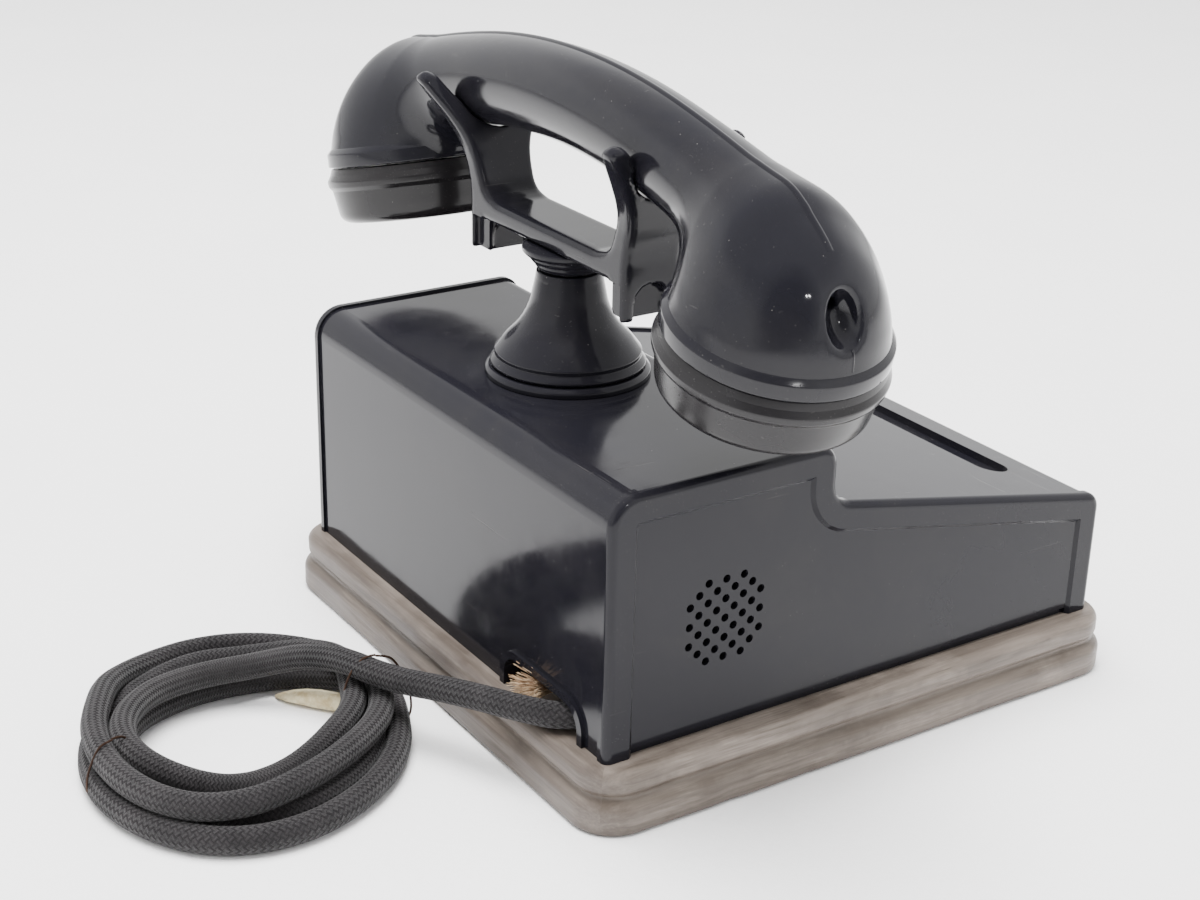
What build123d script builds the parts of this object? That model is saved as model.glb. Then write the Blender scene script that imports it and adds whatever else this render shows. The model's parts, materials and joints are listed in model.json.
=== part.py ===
from build123d import *
import os
from math import cos, pi, radians, sin, tan

os.makedirs("parts", exist_ok=True)

# A desk telephone with a magneto crank, for a local battery line. Millimetres.
# X runs to the user's right, Y to the back, Z up. The origin is the middle of the wooden base's underside.

# ------------------------------------------------------------------ driving dimensions
case_width = 180.0
case_depth = 185.0
case_height = 79.5
wall = 3.5
base_height = 20.0
base_overhang = 8.0

plateau_front_y = 17.0  # the flat top ends here and drops to the sloping panel
panel_rear_z = base_height + 61.7
panel_front_z = base_height + 39.5
case_top_z = base_height + case_height
half_width = case_width / 2
half_depth = case_depth / 2
panel_slope = (panel_rear_z - panel_front_z) / (plateau_front_y + half_depth)

rim_width = 8.5
rim_bead = 0.8
rim_depth = 4.0
side_recess = 1.0
recess_draft = 50
foot_length = 8.5
foot_relief_height = 2.2
foot_relief_depth = 2.2

pedestal_y = 50.0
pedestal_top_z = 132.0
rod_radius = 4.0
plunge = 5.0
running_clearance = 0.05

fork_half_depth = 9.75
fork_outer_x = 43.5
fork_inner_x = 34.5
bar_bottom_z = 139.5
bar_top_z = 146.3
leg_bottom_z = 128.5
prong_tip_z = 180.5
prong_tip_x = 52.2
prong_spread = 20.2
prong_tip_radius = 1.9

handset_y = 48.5
handset_yaw = -1.4
head_x = 101.0
seam_z = 142.3
seam_radius = 30.0
head_tilt = 14.5
handle_z = 183.8
handle_radius = 14.0
handle_arc = [(-92, 168.2), (0, handle_z), (92, 168.2)]
cap_height = 18.8

crank_y = 36.0
crank_z = 61.0
crank_radius = 45.0
gear_teeth = 42
pinion_teeth = 11
tooth_module = 1.0
gear_radius = gear_teeth * tooth_module / 2
pinion_radius = pinion_teeth * tooth_module / 2
armature_z = crank_z - gear_radius - pinion_radius

chassis_thickness = 1.5
chassis_top_z = base_height + chassis_thickness
boss_x = 81.5
boss_y = 66.0
boss_radius = 6.0

cord_radius = 4.0


def finish(builder, name):
    """Label a finished piece and write it to its file."""
    builder.part.label = name
    export_step(builder.part, f"parts/{name}.step")


def panel_z(y):
    """Height of the sloping panel's surface at y."""
    return panel_rear_z - (plateau_front_y - y) * panel_slope


yaw_x = (cos(radians(handset_yaw)), sin(radians(handset_yaw)), 0)
yaw_y = (-sin(radians(handset_yaw)), cos(radians(handset_yaw)), 0)


def handset_point(x, y, z):
    """A point of the handset, from its own length, width and height to the telephone's frame."""
    return (x * yaw_x[0] + y * yaw_y[0], handset_y + x * yaw_x[1] + y * yaw_y[1], z)


def head_plane(side):
    """A plane at the head's seam whose x is across the head and whose y points up into the shell."""
    lean = side * sin(radians(head_tilt))
    return Plane(
        origin=handset_point(side * head_x, 0, seam_z),
        x_dir=(side * cos(radians(head_tilt)) * yaw_x[0], side * cos(radians(head_tilt)) * yaw_x[1], -abs(lean)),
        z_dir=(side * -yaw_y[0], side * -yaw_y[1], 0),
    )


def head_axis(side):
    """The head's own axis, from the seam up into the shell."""
    plane = head_plane(side)
    return Axis(plane.origin, plane.y_dir)


handset_plane = Plane(
    origin=handset_point(0, 0, 0),
    x_dir=yaw_x,
    z_dir=(-yaw_y[0], -yaw_y[1], 0),
)


# ------------------------------------------------------------------ wooden base and its screws
lower_slab = 10.5
waist_top = 12.5
base_half_x = half_width + base_overhang
base_half_y = half_depth + base_overhang
screw_places = [(x, y) for x in (-boss_x, boss_x) for y in (-boss_y, boss_y)]
chassis_screw_places = [(x, y) for x in (-52, 66) for y in (-76, 66)]

with BuildPart() as wooden_base:
    with BuildSketch():
        RectangleRounded(2 * base_half_x, 2 * base_half_y, 14)
    extrude(amount=lower_slab)
    fillet(wooden_base.edges().group_by(Axis.Z)[-1], 4.5)
    fillet(wooden_base.edges().group_by(Axis.Z)[0], 2.0)
    with BuildSketch(Plane.XY.offset(lower_slab - 1)):
        RectangleRounded(2 * (base_half_x - 2.5), 2 * (base_half_y - 2.5), 11.5)
    extrude(amount=waist_top - lower_slab + 1)
    with BuildSketch(Plane.XY.offset(waist_top)):
        RectangleRounded(2 * (base_half_x - 1.5), 2 * (base_half_y - 1.5), 12.5)
    extrude(amount=base_height - waist_top)
    fillet(wooden_base.edges().group_by(Axis.Z)[-1], 5.0)
    with Locations([Location((x, y, 0), (180, 0, 0)) for x, y in screw_places]):
        CounterSinkHole(2.2, 4.4, depth=base_height, counter_sink_angle=90)
    with Locations([(x, y, base_height) for x, y in chassis_screw_places]):
        Hole(1.7, depth=9)
finish(wooden_base, "wooden_base")

with BuildPart() as base_screws:
    for x, y in screw_places:
        with BuildSketch(Plane(origin=(x, y, 0), x_dir=(1, 0, 0), z_dir=(0, -1, 0))):
            with BuildLine():
                Polyline((0, 0.3), (4.0, 0.3), (1.9, 2.4), (1.9, 38), (0, 39.5), close=True)
            make_face()
        revolve(axis=Axis((x, y, 0), (0, 0, 1)))
finish(base_screws, "base_screws")

# ------------------------------------------------------------------ chassis plate
with BuildPart() as chassis_plate:
    with BuildSketch(Plane.XY.offset(base_height)):
        RectangleRounded(148, 168, 5)
        with Locations(chassis_screw_places):
            Circle(1.9, mode=Mode.SUBTRACT)
    extrude(amount=chassis_thickness)
finish(chassis_plate, "chassis_plate")

with BuildPart() as chassis_screws:
    for x, y in chassis_screw_places:
        with BuildSketch(Plane.XY.offset(chassis_top_z)):
            with Locations((x, y)):
                Circle(3.2)
        extrude(amount=2.0)
        with BuildSketch(Plane.XY.offset(base_height - 8)):
            with Locations((x, y)):
                Circle(1.65)
        extrude(amount=8 + chassis_thickness)
finish(chassis_screws, "chassis_screws")


# ------------------------------------------------------------------ case shell
def side_view(inset):
    """The case seen from the side (x = Y, y = Z), shrunk by inset but always open down to the base."""
    with BuildSketch() as outline:
        with BuildLine():
            FilletPolyline(
                (half_depth, base_height),
                (half_depth, case_top_z),
                (plateau_front_y, case_top_z),
                (plateau_front_y, panel_rear_z),
                (-half_depth, panel_front_z),
                (-half_depth, base_height),
                radius=[9.0, 5.5, 8.0, 4.5],
            )
            Line((-half_depth, base_height), (half_depth, base_height))
        make_face()
        if inset != 0:
            offset(amount=-inset)
        if inset > 0:
            with Locations((0, base_height + inset)):
                Rectangle(case_depth - 2 * inset, 2 * inset)
        with Locations((0, base_height)):
            Rectangle(2 * case_depth, 2 * case_height, align=(Align.CENTER, Align.MIN), mode=Mode.INTERSECT)
    return outline.sketch


outlet_low_x = -76.0
outlet_high_x = -36.0
outlet_height = 10.5
outlet_lip = 2.5
outlet_lip_proud = 1.2
groove_y = -73.0
groove_length = 132.0
groove_width = 12.2
groove_depth = 2.4
grille_y = 53.4
grille_z = base_height + 35.3
grille_pitch = 4.3
grille_hole_radius = 1.25
grille_rows = [3, 5, 7, 7, 7, 5, 3]
diagonal = grille_pitch / 2**0.5
grille_places = []
for row, count in enumerate(grille_rows):
    for k in range(count):
        across = k - (count - 1) / 2
        along = row - (len(grille_rows) - 1) / 2
        grille_places.append((grille_y + (across + along) * diagonal, grille_z + (along - across) * diagonal))
groove_plane = Plane(
    origin=(0, groove_y, panel_z(groove_y)),
    x_dir=(1, 0, 0),
    z_dir=(0, -panel_slope, 1),
)
back_face = Plane(origin=(0, half_depth, 0), x_dir=(1, 0, 0), z_dir=(0, -1, 0))

with BuildPart() as case_shell:
    with BuildSketch(Plane.YZ):
        add(side_view(0))
    extrude(amount=half_width - rim_depth, both=True)
    for side in (-1, 1):
        with BuildSketch(Plane.YZ.offset(side * (half_width - rim_depth))):
            add(side_view(-rim_bead))
        extrude(amount=side * rim_depth)
        outer_face = case_shell.faces().sort_by(Axis.X)[-1 if side > 0 else 0]
        fillet(outer_face.edges().filter_by(lambda e: e.center().Z > base_height + 1), 2.4)
        with BuildSketch(Plane.YZ.offset(side * (half_width - side_recess))):
            add(side_view(rim_width))
        extrude(amount=side * 2 * side_recess, taper=-recess_draft, mode=Mode.SUBTRACT)
    for side in (-1, 1):
        with BuildSketch(Plane.YZ.offset(side * (half_width - foot_relief_depth))):
            with Locations((0, base_height)):
                Rectangle(2 * (half_depth - foot_length), 2 * foot_relief_height)
        extrude(amount=side * 5, mode=Mode.SUBTRACT)
    with BuildSketch(back_face):
        with BuildLine():
            FilletPolyline(
                (outlet_low_x - outlet_lip, base_height),
                (outlet_low_x - outlet_lip, base_height + outlet_height + outlet_lip),
                (outlet_high_x + outlet_lip, base_height + outlet_height + outlet_lip),
                (outlet_high_x + outlet_lip, base_height),
                radius=[7.0 + outlet_lip, 6.0 + outlet_lip],
            )
            Line((outlet_low_x - outlet_lip, base_height), (outlet_high_x + outlet_lip, base_height))
        make_face()
    extrude(amount=-outlet_lip_proud)
    with BuildSketch(Plane.YZ):
        add(side_view(wall))
    extrude(amount=half_width - wall, both=True, mode=Mode.SUBTRACT)
    with BuildSketch(Plane.XY.offset(base_height)):
        with Locations(screw_places):
            Circle(boss_radius)
    extrude(amount=22)
    with Locations([Location((x, y, base_height), (180, 0, 0)) for x, y in screw_places]):
        Hole(2.0, depth=20)
    with BuildSketch(groove_plane):
        SlotOverall(groove_length + 6, groove_width + 6)
    extrude(amount=-5.2)
    with BuildSketch(groove_plane.offset(2)):
        SlotOverall(groove_length, groove_width)
    extrude(amount=-2 - groove_depth, mode=Mode.SUBTRACT)
    with BuildSketch(back_face.offset(-5)):
        with BuildLine():
            FilletPolyline(
                (outlet_low_x, base_height),
                (outlet_low_x, base_height + outlet_height),
                (outlet_high_x, base_height + outlet_height),
                (outlet_high_x, base_height),
                radius=[7.0, 6.0],
            )
            Line((outlet_low_x, base_height), (outlet_high_x, base_height))
        make_face()
    extrude(amount=10, mode=Mode.SUBTRACT)
    with BuildSketch(Plane.YZ.offset(-half_width - 1)):
        with Locations(grille_places):
            Circle(grille_hole_radius)
    extrude(amount=wall + 3, mode=Mode.SUBTRACT)
    with BuildSketch(Plane.YZ.offset(half_width - wall - 1)):
        with Locations((crank_y, crank_z)):
            Circle(8.0)
    extrude(amount=wall + 3, mode=Mode.SUBTRACT)
    with BuildSketch(Plane.XY.offset(case_top_z - wall - 1)):
        with Locations((0, pedestal_y)):
            Circle(8.0)
    extrude(amount=wall + 3, mode=Mode.SUBTRACT)
finish(case_shell, "case_shell")

# ------------------------------------------------------------------ pedestal
pedestal_plane = Plane(origin=(0, pedestal_y, 0), x_dir=(1, 0, 0), z_dir=(0, -1, 0))
pedestal_axis = Axis((0, pedestal_y, 0), (0, 0, 1))
flange_top_z = case_top_z + 2.8
tail_bottom_z = 88.0
seat_top_z = 91.5
bush_radius = 7.0
bush_bottom_z = 119.0
bush_top_z = 131.0
shoulder_top_z = bush_bottom_z - plunge - 0.6
shoulder_bottom_z = shoulder_top_z - 2.0
spring_bottom_z = seat_top_z
spring_top_z = shoulder_bottom_z

with BuildPart() as pedestal_flange:
    with BuildSketch(pedestal_plane):
        with BuildLine():
            Polyline(
                (8.0, case_top_z), (25.2, case_top_z), (25.2, flange_top_z), (8.0, flange_top_z), close=True
            )
        make_face()
    revolve(axis=pedestal_axis)
    fillet(pedestal_flange.edges().filter_by(GeomType.CIRCLE).group_by(SortBy.RADIUS)[-1], 1.0)
finish(pedestal_flange, "pedestal_flange")

with BuildPart() as pedestal:
    with BuildSketch(pedestal_plane):
        with BuildLine():
            Polyline(
                (rod_radius + 0.3, tail_bottom_z),
                (8.0, tail_bottom_z),
                (8.0, flange_top_z),
                (23.6, flange_top_z),
                (24.0, flange_top_z + 0.8),
                (23.6, flange_top_z + 1.8),
                (22.4, flange_top_z + 2.2),
                (22.8, flange_top_z + 4.2),
            )
            Spline(
                (22.8, flange_top_z + 4.2),
                (19.4, 111.0),
                (13.5, 118.2),
                (11.2, 125.0),
                (10.0, pedestal_top_z),
                tangents=[(-0.8, 1), (-0.05, 1)],
            )
            Polyline(
                (10.0, pedestal_top_z),
                (bush_radius, pedestal_top_z),
                (bush_radius, seat_top_z),
                (rod_radius + 0.3, seat_top_z),
                (rod_radius + 0.3, tail_bottom_z),
            )
        make_face()
    revolve(axis=pedestal_axis)
finish(pedestal, "pedestal")

with BuildPart() as pedestal_nut:
    with BuildSketch(Plane.XY.offset(case_top_z - wall - 4.5)):
        with Locations((0, pedestal_y)):
            RegularPolygon(12.5, 6)
            Circle(8.0, mode=Mode.SUBTRACT)
    extrude(amount=4.5)
finish(pedestal_nut, "pedestal_nut")

with BuildPart() as guide_bush:
    with BuildSketch(Plane.XY.offset(bush_bottom_z)):
        with Locations((0, pedestal_y)):
            Circle(bush_radius)
            Circle(rod_radius + running_clearance, mode=Mode.SUBTRACT)
    extrude(amount=bush_top_z - bush_bottom_z)
finish(guide_bush, "guide_bush")

spring_wire = 0.6
spring_coil_radius = 5.5
spring_turns = 6
spring_rise = spring_top_z - spring_bottom_z - 2 * spring_wire
with BuildPart() as plunger_spring:
    with BuildLine():
        spring_path = Helix(
            spring_rise / spring_turns,
            spring_rise,
            spring_coil_radius,
            center=(0, pedestal_y, spring_bottom_z + spring_wire),
        )
    with BuildSketch(Plane(origin=spring_path @ 0, z_dir=spring_path % 0)):
        Circle(spring_wire)
    sweep(path=spring_path, is_frenet=True)
finish(plunger_spring, "plunger_spring")

# ------------------------------------------------------------------ cradle: rod, foot, collar and fork
rod_bottom_z = 82.0
foot_bottom_z = 76.0
with BuildPart() as plunger_rod:
    with BuildSketch(Plane.XY.offset(rod_bottom_z)):
        with Locations((0, pedestal_y)):
            Circle(rod_radius)
    extrude(amount=bar_bottom_z + 3.5 - rod_bottom_z)
    with BuildSketch(Plane.XY.offset(shoulder_bottom_z)):
        with Locations((0, pedestal_y)):
            Circle(6.4)
    extrude(amount=shoulder_top_z - shoulder_bottom_z)
finish(plunger_rod, "plunger_rod")

with BuildPart() as plunger_foot:
    with BuildSketch(Plane.XY.offset(foot_bottom_z)):
        with Locations((0, pedestal_y)):
            Circle(rod_radius - 0.3)
    extrude(amount=rod_bottom_z - foot_bottom_z)
    fillet(plunger_foot.edges().group_by(Axis.Z)[0], 1.5)
finish(plunger_foot, "plunger_foot")

collar_bottom_z = pedestal_top_z + 0.6
with BuildPart() as plunger_collar:
    with BuildSketch(pedestal_plane):
        with BuildLine():
            Polyline(
                (rod_radius, collar_bottom_z),
                (9.8, collar_bottom_z),
                (10.6, collar_bottom_z + 1.0),
                (10.6, collar_bottom_z + 1.8),
                (11.3, collar_bottom_z + 2.2),
                (12.3, collar_bottom_z + 3.2),
                (12.3, collar_bottom_z + 4.0),
                (13.0, collar_bottom_z + 4.4),
                (14.4, collar_bottom_z + 5.6),
                (14.4, bar_bottom_z),
                (rod_radius, bar_bottom_z),
                close=True,
            )
        make_face()
    revolve(axis=pedestal_axis)
finish(plunger_collar, "plunger_collar")

valley_z = 167.8
leg_setback = 1.0
leg_plate = 2.5
arch_depth = 4.0
seat_clearance = 0.35
with BuildPart() as cradle_fork:
    with BuildSketch(pedestal_plane) as front_view:
        with BuildLine():
            Polyline(
                (0, bar_top_z), (0, bar_bottom_z), (fork_inner_x, bar_bottom_z), (fork_inner_x, leg_bottom_z)
            )
            Line((fork_inner_x, leg_bottom_z), (fork_outer_x, leg_bottom_z))
            Line((fork_outer_x, leg_bottom_z), (fork_outer_x, 150))
            Spline(
                (fork_outer_x, 150),
                (46.6, 163.5),
                (50.6, 173.0),
                (prong_tip_x + prong_tip_radius, prong_tip_z),
                tangents=[(0, 1), (0.45, 1)],
            )
            ThreePointArc(
                (prong_tip_x + prong_tip_radius, prong_tip_z),
                (prong_tip_x + 0.3, prong_tip_z + prong_tip_radius),
                (prong_tip_x - prong_tip_radius, prong_tip_z + 0.6),
            )
            Spline(
                (prong_tip_x - prong_tip_radius, prong_tip_z + 0.6),
                (45.4, 171.0),
                (40.2, 164.0),
                (36.0, 158.0),
                (fork_inner_x, 153.0),
                tangents=[(-0.4, -1), (0, -1)],
            )
            Spline(
                (fork_inner_x, 153.0),
                (31.6, 148.6),
                (25.0, bar_top_z),
                tangents=[(0, -1), (-1, 0)],
            )
            Line((25.0, bar_top_z), (0, bar_top_z))
        make_face()
        mirror(about=Plane.YZ)
    extrude(amount=30, both=True)
    with BuildSketch(Plane.YZ) as side_outline:
        with BuildLine() as half_outline:
            Polyline(
                (pedestal_y, leg_bottom_z),
                (pedestal_y + fork_half_depth, leg_bottom_z),
                (pedestal_y + fork_half_depth, 152),
            )
            Spline(
                (pedestal_y + fork_half_depth, 152),
                (pedestal_y + 11.4, 161.0),
                (pedestal_y + 15.9, 170.5),
                (pedestal_y + prong_spread + prong_tip_radius, prong_tip_z - 0.8),
                tangents=[(0, 1), (0.55, 1)],
            )
            ThreePointArc(
                (pedestal_y + prong_spread + prong_tip_radius, prong_tip_z - 0.8),
                (pedestal_y + prong_spread + 0.6, prong_tip_z + prong_tip_radius),
                (pedestal_y + prong_spread - prong_tip_radius, prong_tip_z + 0.4),
            )
            Spline(
                (pedestal_y + prong_spread - prong_tip_radius, prong_tip_z + 0.4),
                (pedestal_y + 14.2, 174.4),
                (pedestal_y + 7.8, 169.4),
                (pedestal_y, valley_z),
                tangents=[(-0.6, -1), (-1, 0)],
            )
            Line((pedestal_y, valley_z), (pedestal_y, leg_bottom_z))
        make_face()
        mirror(about=Plane.YZ.offset(pedestal_y))
    extrude(amount=60, both=True, mode=Mode.INTERSECT)
    for side in (-1, 1):
        with BuildSketch(Plane.YZ.offset(side * (fork_outer_x - arch_depth))):
            with Locations((pedestal_y, leg_bottom_z)):
                SlotCenterToCenter(10, 12, rotation=90)
        extrude(amount=side * 6, mode=Mode.SUBTRACT)
        with BuildSketch(Plane.YZ.offset(side * fork_inner_x)):
            with Locations((pedestal_y, leg_bottom_z)):
                SlotCenterToCenter(10, 12, rotation=90)
        extrude(amount=side * 1.5, mode=Mode.SUBTRACT)
    with BuildSketch(Plane.XY.offset(leg_bottom_z)):
        with Locations((0, pedestal_y)):
            Rectangle(2 * (fork_outer_x - leg_plate), 2 * fork_half_depth + 4)
            Rectangle(2 * (fork_outer_x - leg_plate), 2 * (fork_half_depth - leg_setback), mode=Mode.SUBTRACT)
    extrude(amount=bar_bottom_z - leg_bottom_z, mode=Mode.SUBTRACT)
    with BuildSketch(Plane.XY.offset(bar_bottom_z - 1)):
        with Locations((0, pedestal_y)):
            Circle(rod_radius)
    extrude(amount=4.5, mode=Mode.SUBTRACT)
    with BuildLine(handset_plane) as seat_line:
        ThreePointArc(*handle_arc)
    with BuildSketch(Plane(origin=seat_line.line @ 0, z_dir=seat_line.line % 0)):
        Circle(handle_radius + seat_clearance)
    sweep(path=seat_line.line, mode=Mode.SUBTRACT)
finish(cradle_fork, "cradle_fork")

# ------------------------------------------------------------------ handset
head_height = 39.5
chamber_radius = 24.5
chamber_depth = 13.0
wire_chamber_radius = 10.0
wire_chamber_depth = 27.0
cord_hole_z = 156.8
cord_recess_radius = 5.8
cord_hole_radius = 3.2

with BuildPart() as handset_shell:
    with BuildLine(handset_plane) as handle_line:
        ThreePointArc(*handle_arc)
    with BuildSketch(Plane(origin=handle_line.line @ 0, z_dir=handle_line.line % 0)):
        Circle(handle_radius)
    sweep(path=handle_line.line)
    for side in (-1, 1):
        with BuildSketch(head_plane(side)):
            with BuildLine():
                Polyline((0, 0), (30.8, 0), (30.8, 4.2), (29.6, 5.0))
                Spline(
                    (29.6, 5.0),
                    (28.2, 11.0),
                    (25.6, 18.5),
                    (21.3, 27.0),
                    (14.5, 34.6),
                    (0, head_height),
                    tangents=[(-0.12, 1), (-1, 0)],
                )
                Line((0, head_height), (0, 0))
            make_face()
        revolve(axis=head_axis(side))
    for side in (-1, 1):
        with BuildSketch(head_plane(side)):
            with BuildLine():
                Polyline(
                    (0, -1),
                    (chamber_radius, -1),
                    (chamber_radius, chamber_depth),
                    (wire_chamber_radius, chamber_depth),
                    (wire_chamber_radius, wire_chamber_depth),
                    (0, wire_chamber_depth),
                    close=True,
                )
            make_face()
        revolve(axis=head_axis(side), mode=Mode.SUBTRACT)
    cord_plane = Plane(
        origin=handset_point(-head_x - 60, 0, cord_hole_z),
        x_dir=yaw_y,
        z_dir=yaw_x,
    )
    with BuildSketch(cord_plane):
        Circle(cord_recess_radius)
    extrude(amount=42, mode=Mode.SUBTRACT)
    with BuildSketch(cord_plane):
        Circle(cord_hole_radius)
    extrude(amount=54, mode=Mode.SUBTRACT)
finish(handset_shell, "handset_shell")


def cap_part(name, hole_rings):
    """A screwed cap: neck inside the shell, bead under the seam, dished face with sound holes."""
    side = 1 if name == "ear_cap" else -1
    plane = head_plane(side)
    with BuildPart() as cap:
        with BuildSketch(plane):
            with BuildLine():
                Polyline(
                    (22.6, -0.35),
                    (22.6, 6.0),
                    (24.4, 6.0),
                    (24.4, -0.35),
                    (30.0, -0.35),
                    (31.9, -5.2),
                    (31.0, -6.8),
                    (29.6, -13.2),
                )
                Spline(
                    (29.6, -13.2),
                    (28.6, -16.4),
                    (25.4, -cap_height),
                    tangents=[(-0.1, -1), (-1, -0.25)],
                )
                Polyline(
                    (25.4, -cap_height),
                    (20.0, -cap_height),
                    (17.0, -cap_height + 2.2),
                    (0, -cap_height + 2.2),
                    (0, -cap_height + 5.0),
                    (24.0, -cap_height + 5.0),
                    (24.0, -0.35),
                    (22.6, -0.35),
                )
            make_face()
        revolve(axis=head_axis(side))
        with BuildSketch(Plane(origin=plane.origin, z_dir=plane.y_dir).offset(-cap_height)):
            Circle(1.5)
            for ring_radius, count in hole_rings:
                with PolarLocations(ring_radius, count):
                    Circle(1.5)
        extrude(amount=8, mode=Mode.SUBTRACT)
    finish(cap, name)


cap_part("ear_cap", [(7.0, 6)])
cap_part("mouth_cap", [(5.5, 6), (11.0, 12)])


def capsule_part(name, side, body_top, body_bottom):
    """A round transducer capsule that lies in the cap, with a contact boss on its back."""
    plane = head_plane(side)
    with BuildPart() as capsule:
        with BuildSketch(plane):
            with BuildLine():
                Polyline(
                    (0, body_bottom),
                    (20.5, body_bottom),
                    (22.3, body_bottom + 1.8),
                    (22.3, body_top - 1),
                    (21.3, body_top),
                    (8.0, body_top),
                    (8.0, body_top + 3),
                    (0, body_top + 3),
                    close=True,
                )
            make_face()
        revolve(axis=head_axis(side))
    finish(capsule, name)


capsule_part("receiver_capsule", 1, 7.0, -12.5)
capsule_part("transmitter_capsule", -1, 5.0, -10.0)

with BuildPart() as handset_terminals:
    for side in (-1, 1):
        with BuildSketch(head_plane(side)):
            with BuildLine():
                Polyline((0, 17), (9.6, 17), (9.6, 20), (3, 20), (3, 23), (0, 23), close=True)
            make_face()
        revolve(axis=head_axis(side))
finish(handset_terminals, "handset_terminals")

# ------------------------------------------------------------------ hook switch
bracket_x = 9.0
lever_pivot_y = 28.0
lever_pivot_z = 74.2
lever_top_z = foot_bottom_z - 0.1
with BuildPart() as hook_bracket:
    with BuildSketch(Plane.YZ.offset(bracket_x)):
        with Locations((50, chassis_top_z)):
            Rectangle(56, 58, align=(Align.CENTER, Align.MIN))
        with Locations((lever_pivot_y, lever_pivot_z)):
            Circle(1.5, mode=Mode.SUBTRACT)
        with Locations((50, 44)):
            RectangleRounded(30, 20, 4, mode=Mode.SUBTRACT)
    extrude(amount=2)
    with BuildSketch(Plane.XY.offset(chassis_top_z)):
        with Locations((bracket_x + 6, 50)):
            Rectangle(12, 40)
    extrude(amount=2)
    with BuildSketch(Plane.XY.offset(64)):
        with Locations((1.5, 73)):
            Rectangle(15.5, 10)
    extrude(amount=2)
finish(hook_bracket, "hook_bracket")

with BuildPart() as lever_pin:
    with BuildSketch(Plane.YZ.offset(-6.5)):
        with Locations((lever_pivot_y, lever_pivot_z)):
            Circle(1.5)
    extrude(amount=bracket_x + 2 + 6.5)
    with BuildSketch(Plane.YZ.offset(-8)):
        with Locations((lever_pivot_y, lever_pivot_z)):
            Circle(2.6)
    extrude(amount=1.5)
finish(lever_pin, "lever_pin")

with BuildPart() as hook_lever:
    with BuildSketch(Plane.YZ.offset(-5)):
        with BuildLine():
            Polyline(
                (lever_pivot_y, lever_top_z),
                (57.5, lever_top_z),
                (57.5, lever_top_z - 1.2),
                (55, lever_top_z - 3.0),
                (lever_pivot_y, lever_top_z - 3.4),
                close=True,
            )
        make_face()
        with Locations((lever_pivot_y, lever_pivot_z)):
            Circle(4.0)
        with Locations((lever_pivot_y, lever_pivot_z)):
            Circle(1.5 + running_clearance, mode=Mode.SUBTRACT)
    extrude(amount=10)
finish(hook_lever, "hook_lever")

blade_levels = [67.5, 69.7, 71.9]
with BuildPart() as contact_springs:
    for level in blade_levels:
        with BuildSketch(Plane.XY.offset(level)):
            with Locations((0, 64.5)):
                Rectangle(5, 27)
        extrude(amount=0.4)
finish(contact_springs, "contact_springs")

with BuildPart() as switch_insulators:
    lower_faces = [66.0] + [level + 0.4 for level in blade_levels]
    upper_faces = blade_levels + [74.5]
    for low, high in zip(lower_faces, upper_faces):
        with BuildSketch(Plane.XY.offset(low)):
            with Locations((0, 73)):
                Rectangle(10, 9)
        extrude(amount=high - low)
finish(switch_insulators, "switch_insulators")

# ------------------------------------------------------------------ magneto and crank
magneto_base_top = chassis_top_z + 2.0
leg_inner = 14.0
leg_outer = 22.0
plate_planes = [27.0, 67.0]

with BuildPart() as magneto_base:
    with BuildSketch(Plane.XY.offset(chassis_top_z)):
        with Locations((48, crank_y)):
            Rectangle(46, 48)
    extrude(amount=2)
finish(magneto_base, "magneto_base")

with BuildPart() as magneto_magnets:
    for start in (30.0, 42.5, 55.0):
        with BuildSketch(Plane.YZ.offset(start)):
            with Locations((crank_y, crank_z)):
                Circle(leg_outer)
            with Locations((crank_y, magneto_base_top)):
                Rectangle(2 * leg_outer, crank_z - magneto_base_top, align=(Align.CENTER, Align.MIN))
            with Locations((crank_y, crank_z)):
                Circle(leg_inner, mode=Mode.SUBTRACT)
            with Locations((crank_y, magneto_base_top)):
                Rectangle(
                    2 * leg_inner,
                    crank_z - magneto_base_top,
                    align=(Align.CENTER, Align.MIN),
                    mode=Mode.SUBTRACT,
                )
        extrude(amount=11)
finish(magneto_magnets, "magneto_magnets")

with BuildPart() as magneto_poles:
    with BuildSketch(Plane.YZ.offset(30)):
        for side in (-1, 1):
            with Locations((crank_y + side * (leg_inner - 3.5), magneto_base_top)):
                Rectangle(7, 22, align=(Align.CENTER, Align.MIN))
        with Locations((crank_y, armature_z)):
            Circle(9.6, mode=Mode.SUBTRACT)
    extrude(amount=36)
finish(magneto_poles, "magneto_poles")

with BuildPart() as magneto_end_plates:
    for start in plate_planes:
        with BuildSketch(Plane.YZ.offset(start)):
            with Locations((crank_y, magneto_base_top)):
                Rectangle(44, 52, align=(Align.CENTER, Align.MIN))
            with Locations((crank_y, armature_z)):
                Circle(2.5 + running_clearance, mode=Mode.SUBTRACT)
            with Locations((crank_y, crank_z)):
                Circle(rod_radius + running_clearance, mode=Mode.SUBTRACT)
        extrude(amount=2)
finish(magneto_end_plates, "magneto_end_plates")

slot_half = 4.5
web_half = 3.0
with BuildPart() as magneto_armature:
    with BuildSketch(Plane.YZ.offset(31)):
        with Locations((crank_y, armature_z)):
            Circle(9.2)
        for side in (-1, 1):
            with Locations((crank_y + side * (web_half + 4), armature_z)):
                Rectangle(8, 2 * slot_half, mode=Mode.SUBTRACT)
    extrude(amount=34)
    with BuildSketch(Plane.YZ.offset(25)):
        with Locations((crank_y, armature_z)):
            Circle(2.5)
    extrude(amount=55)
finish(magneto_armature, "magneto_armature")

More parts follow.
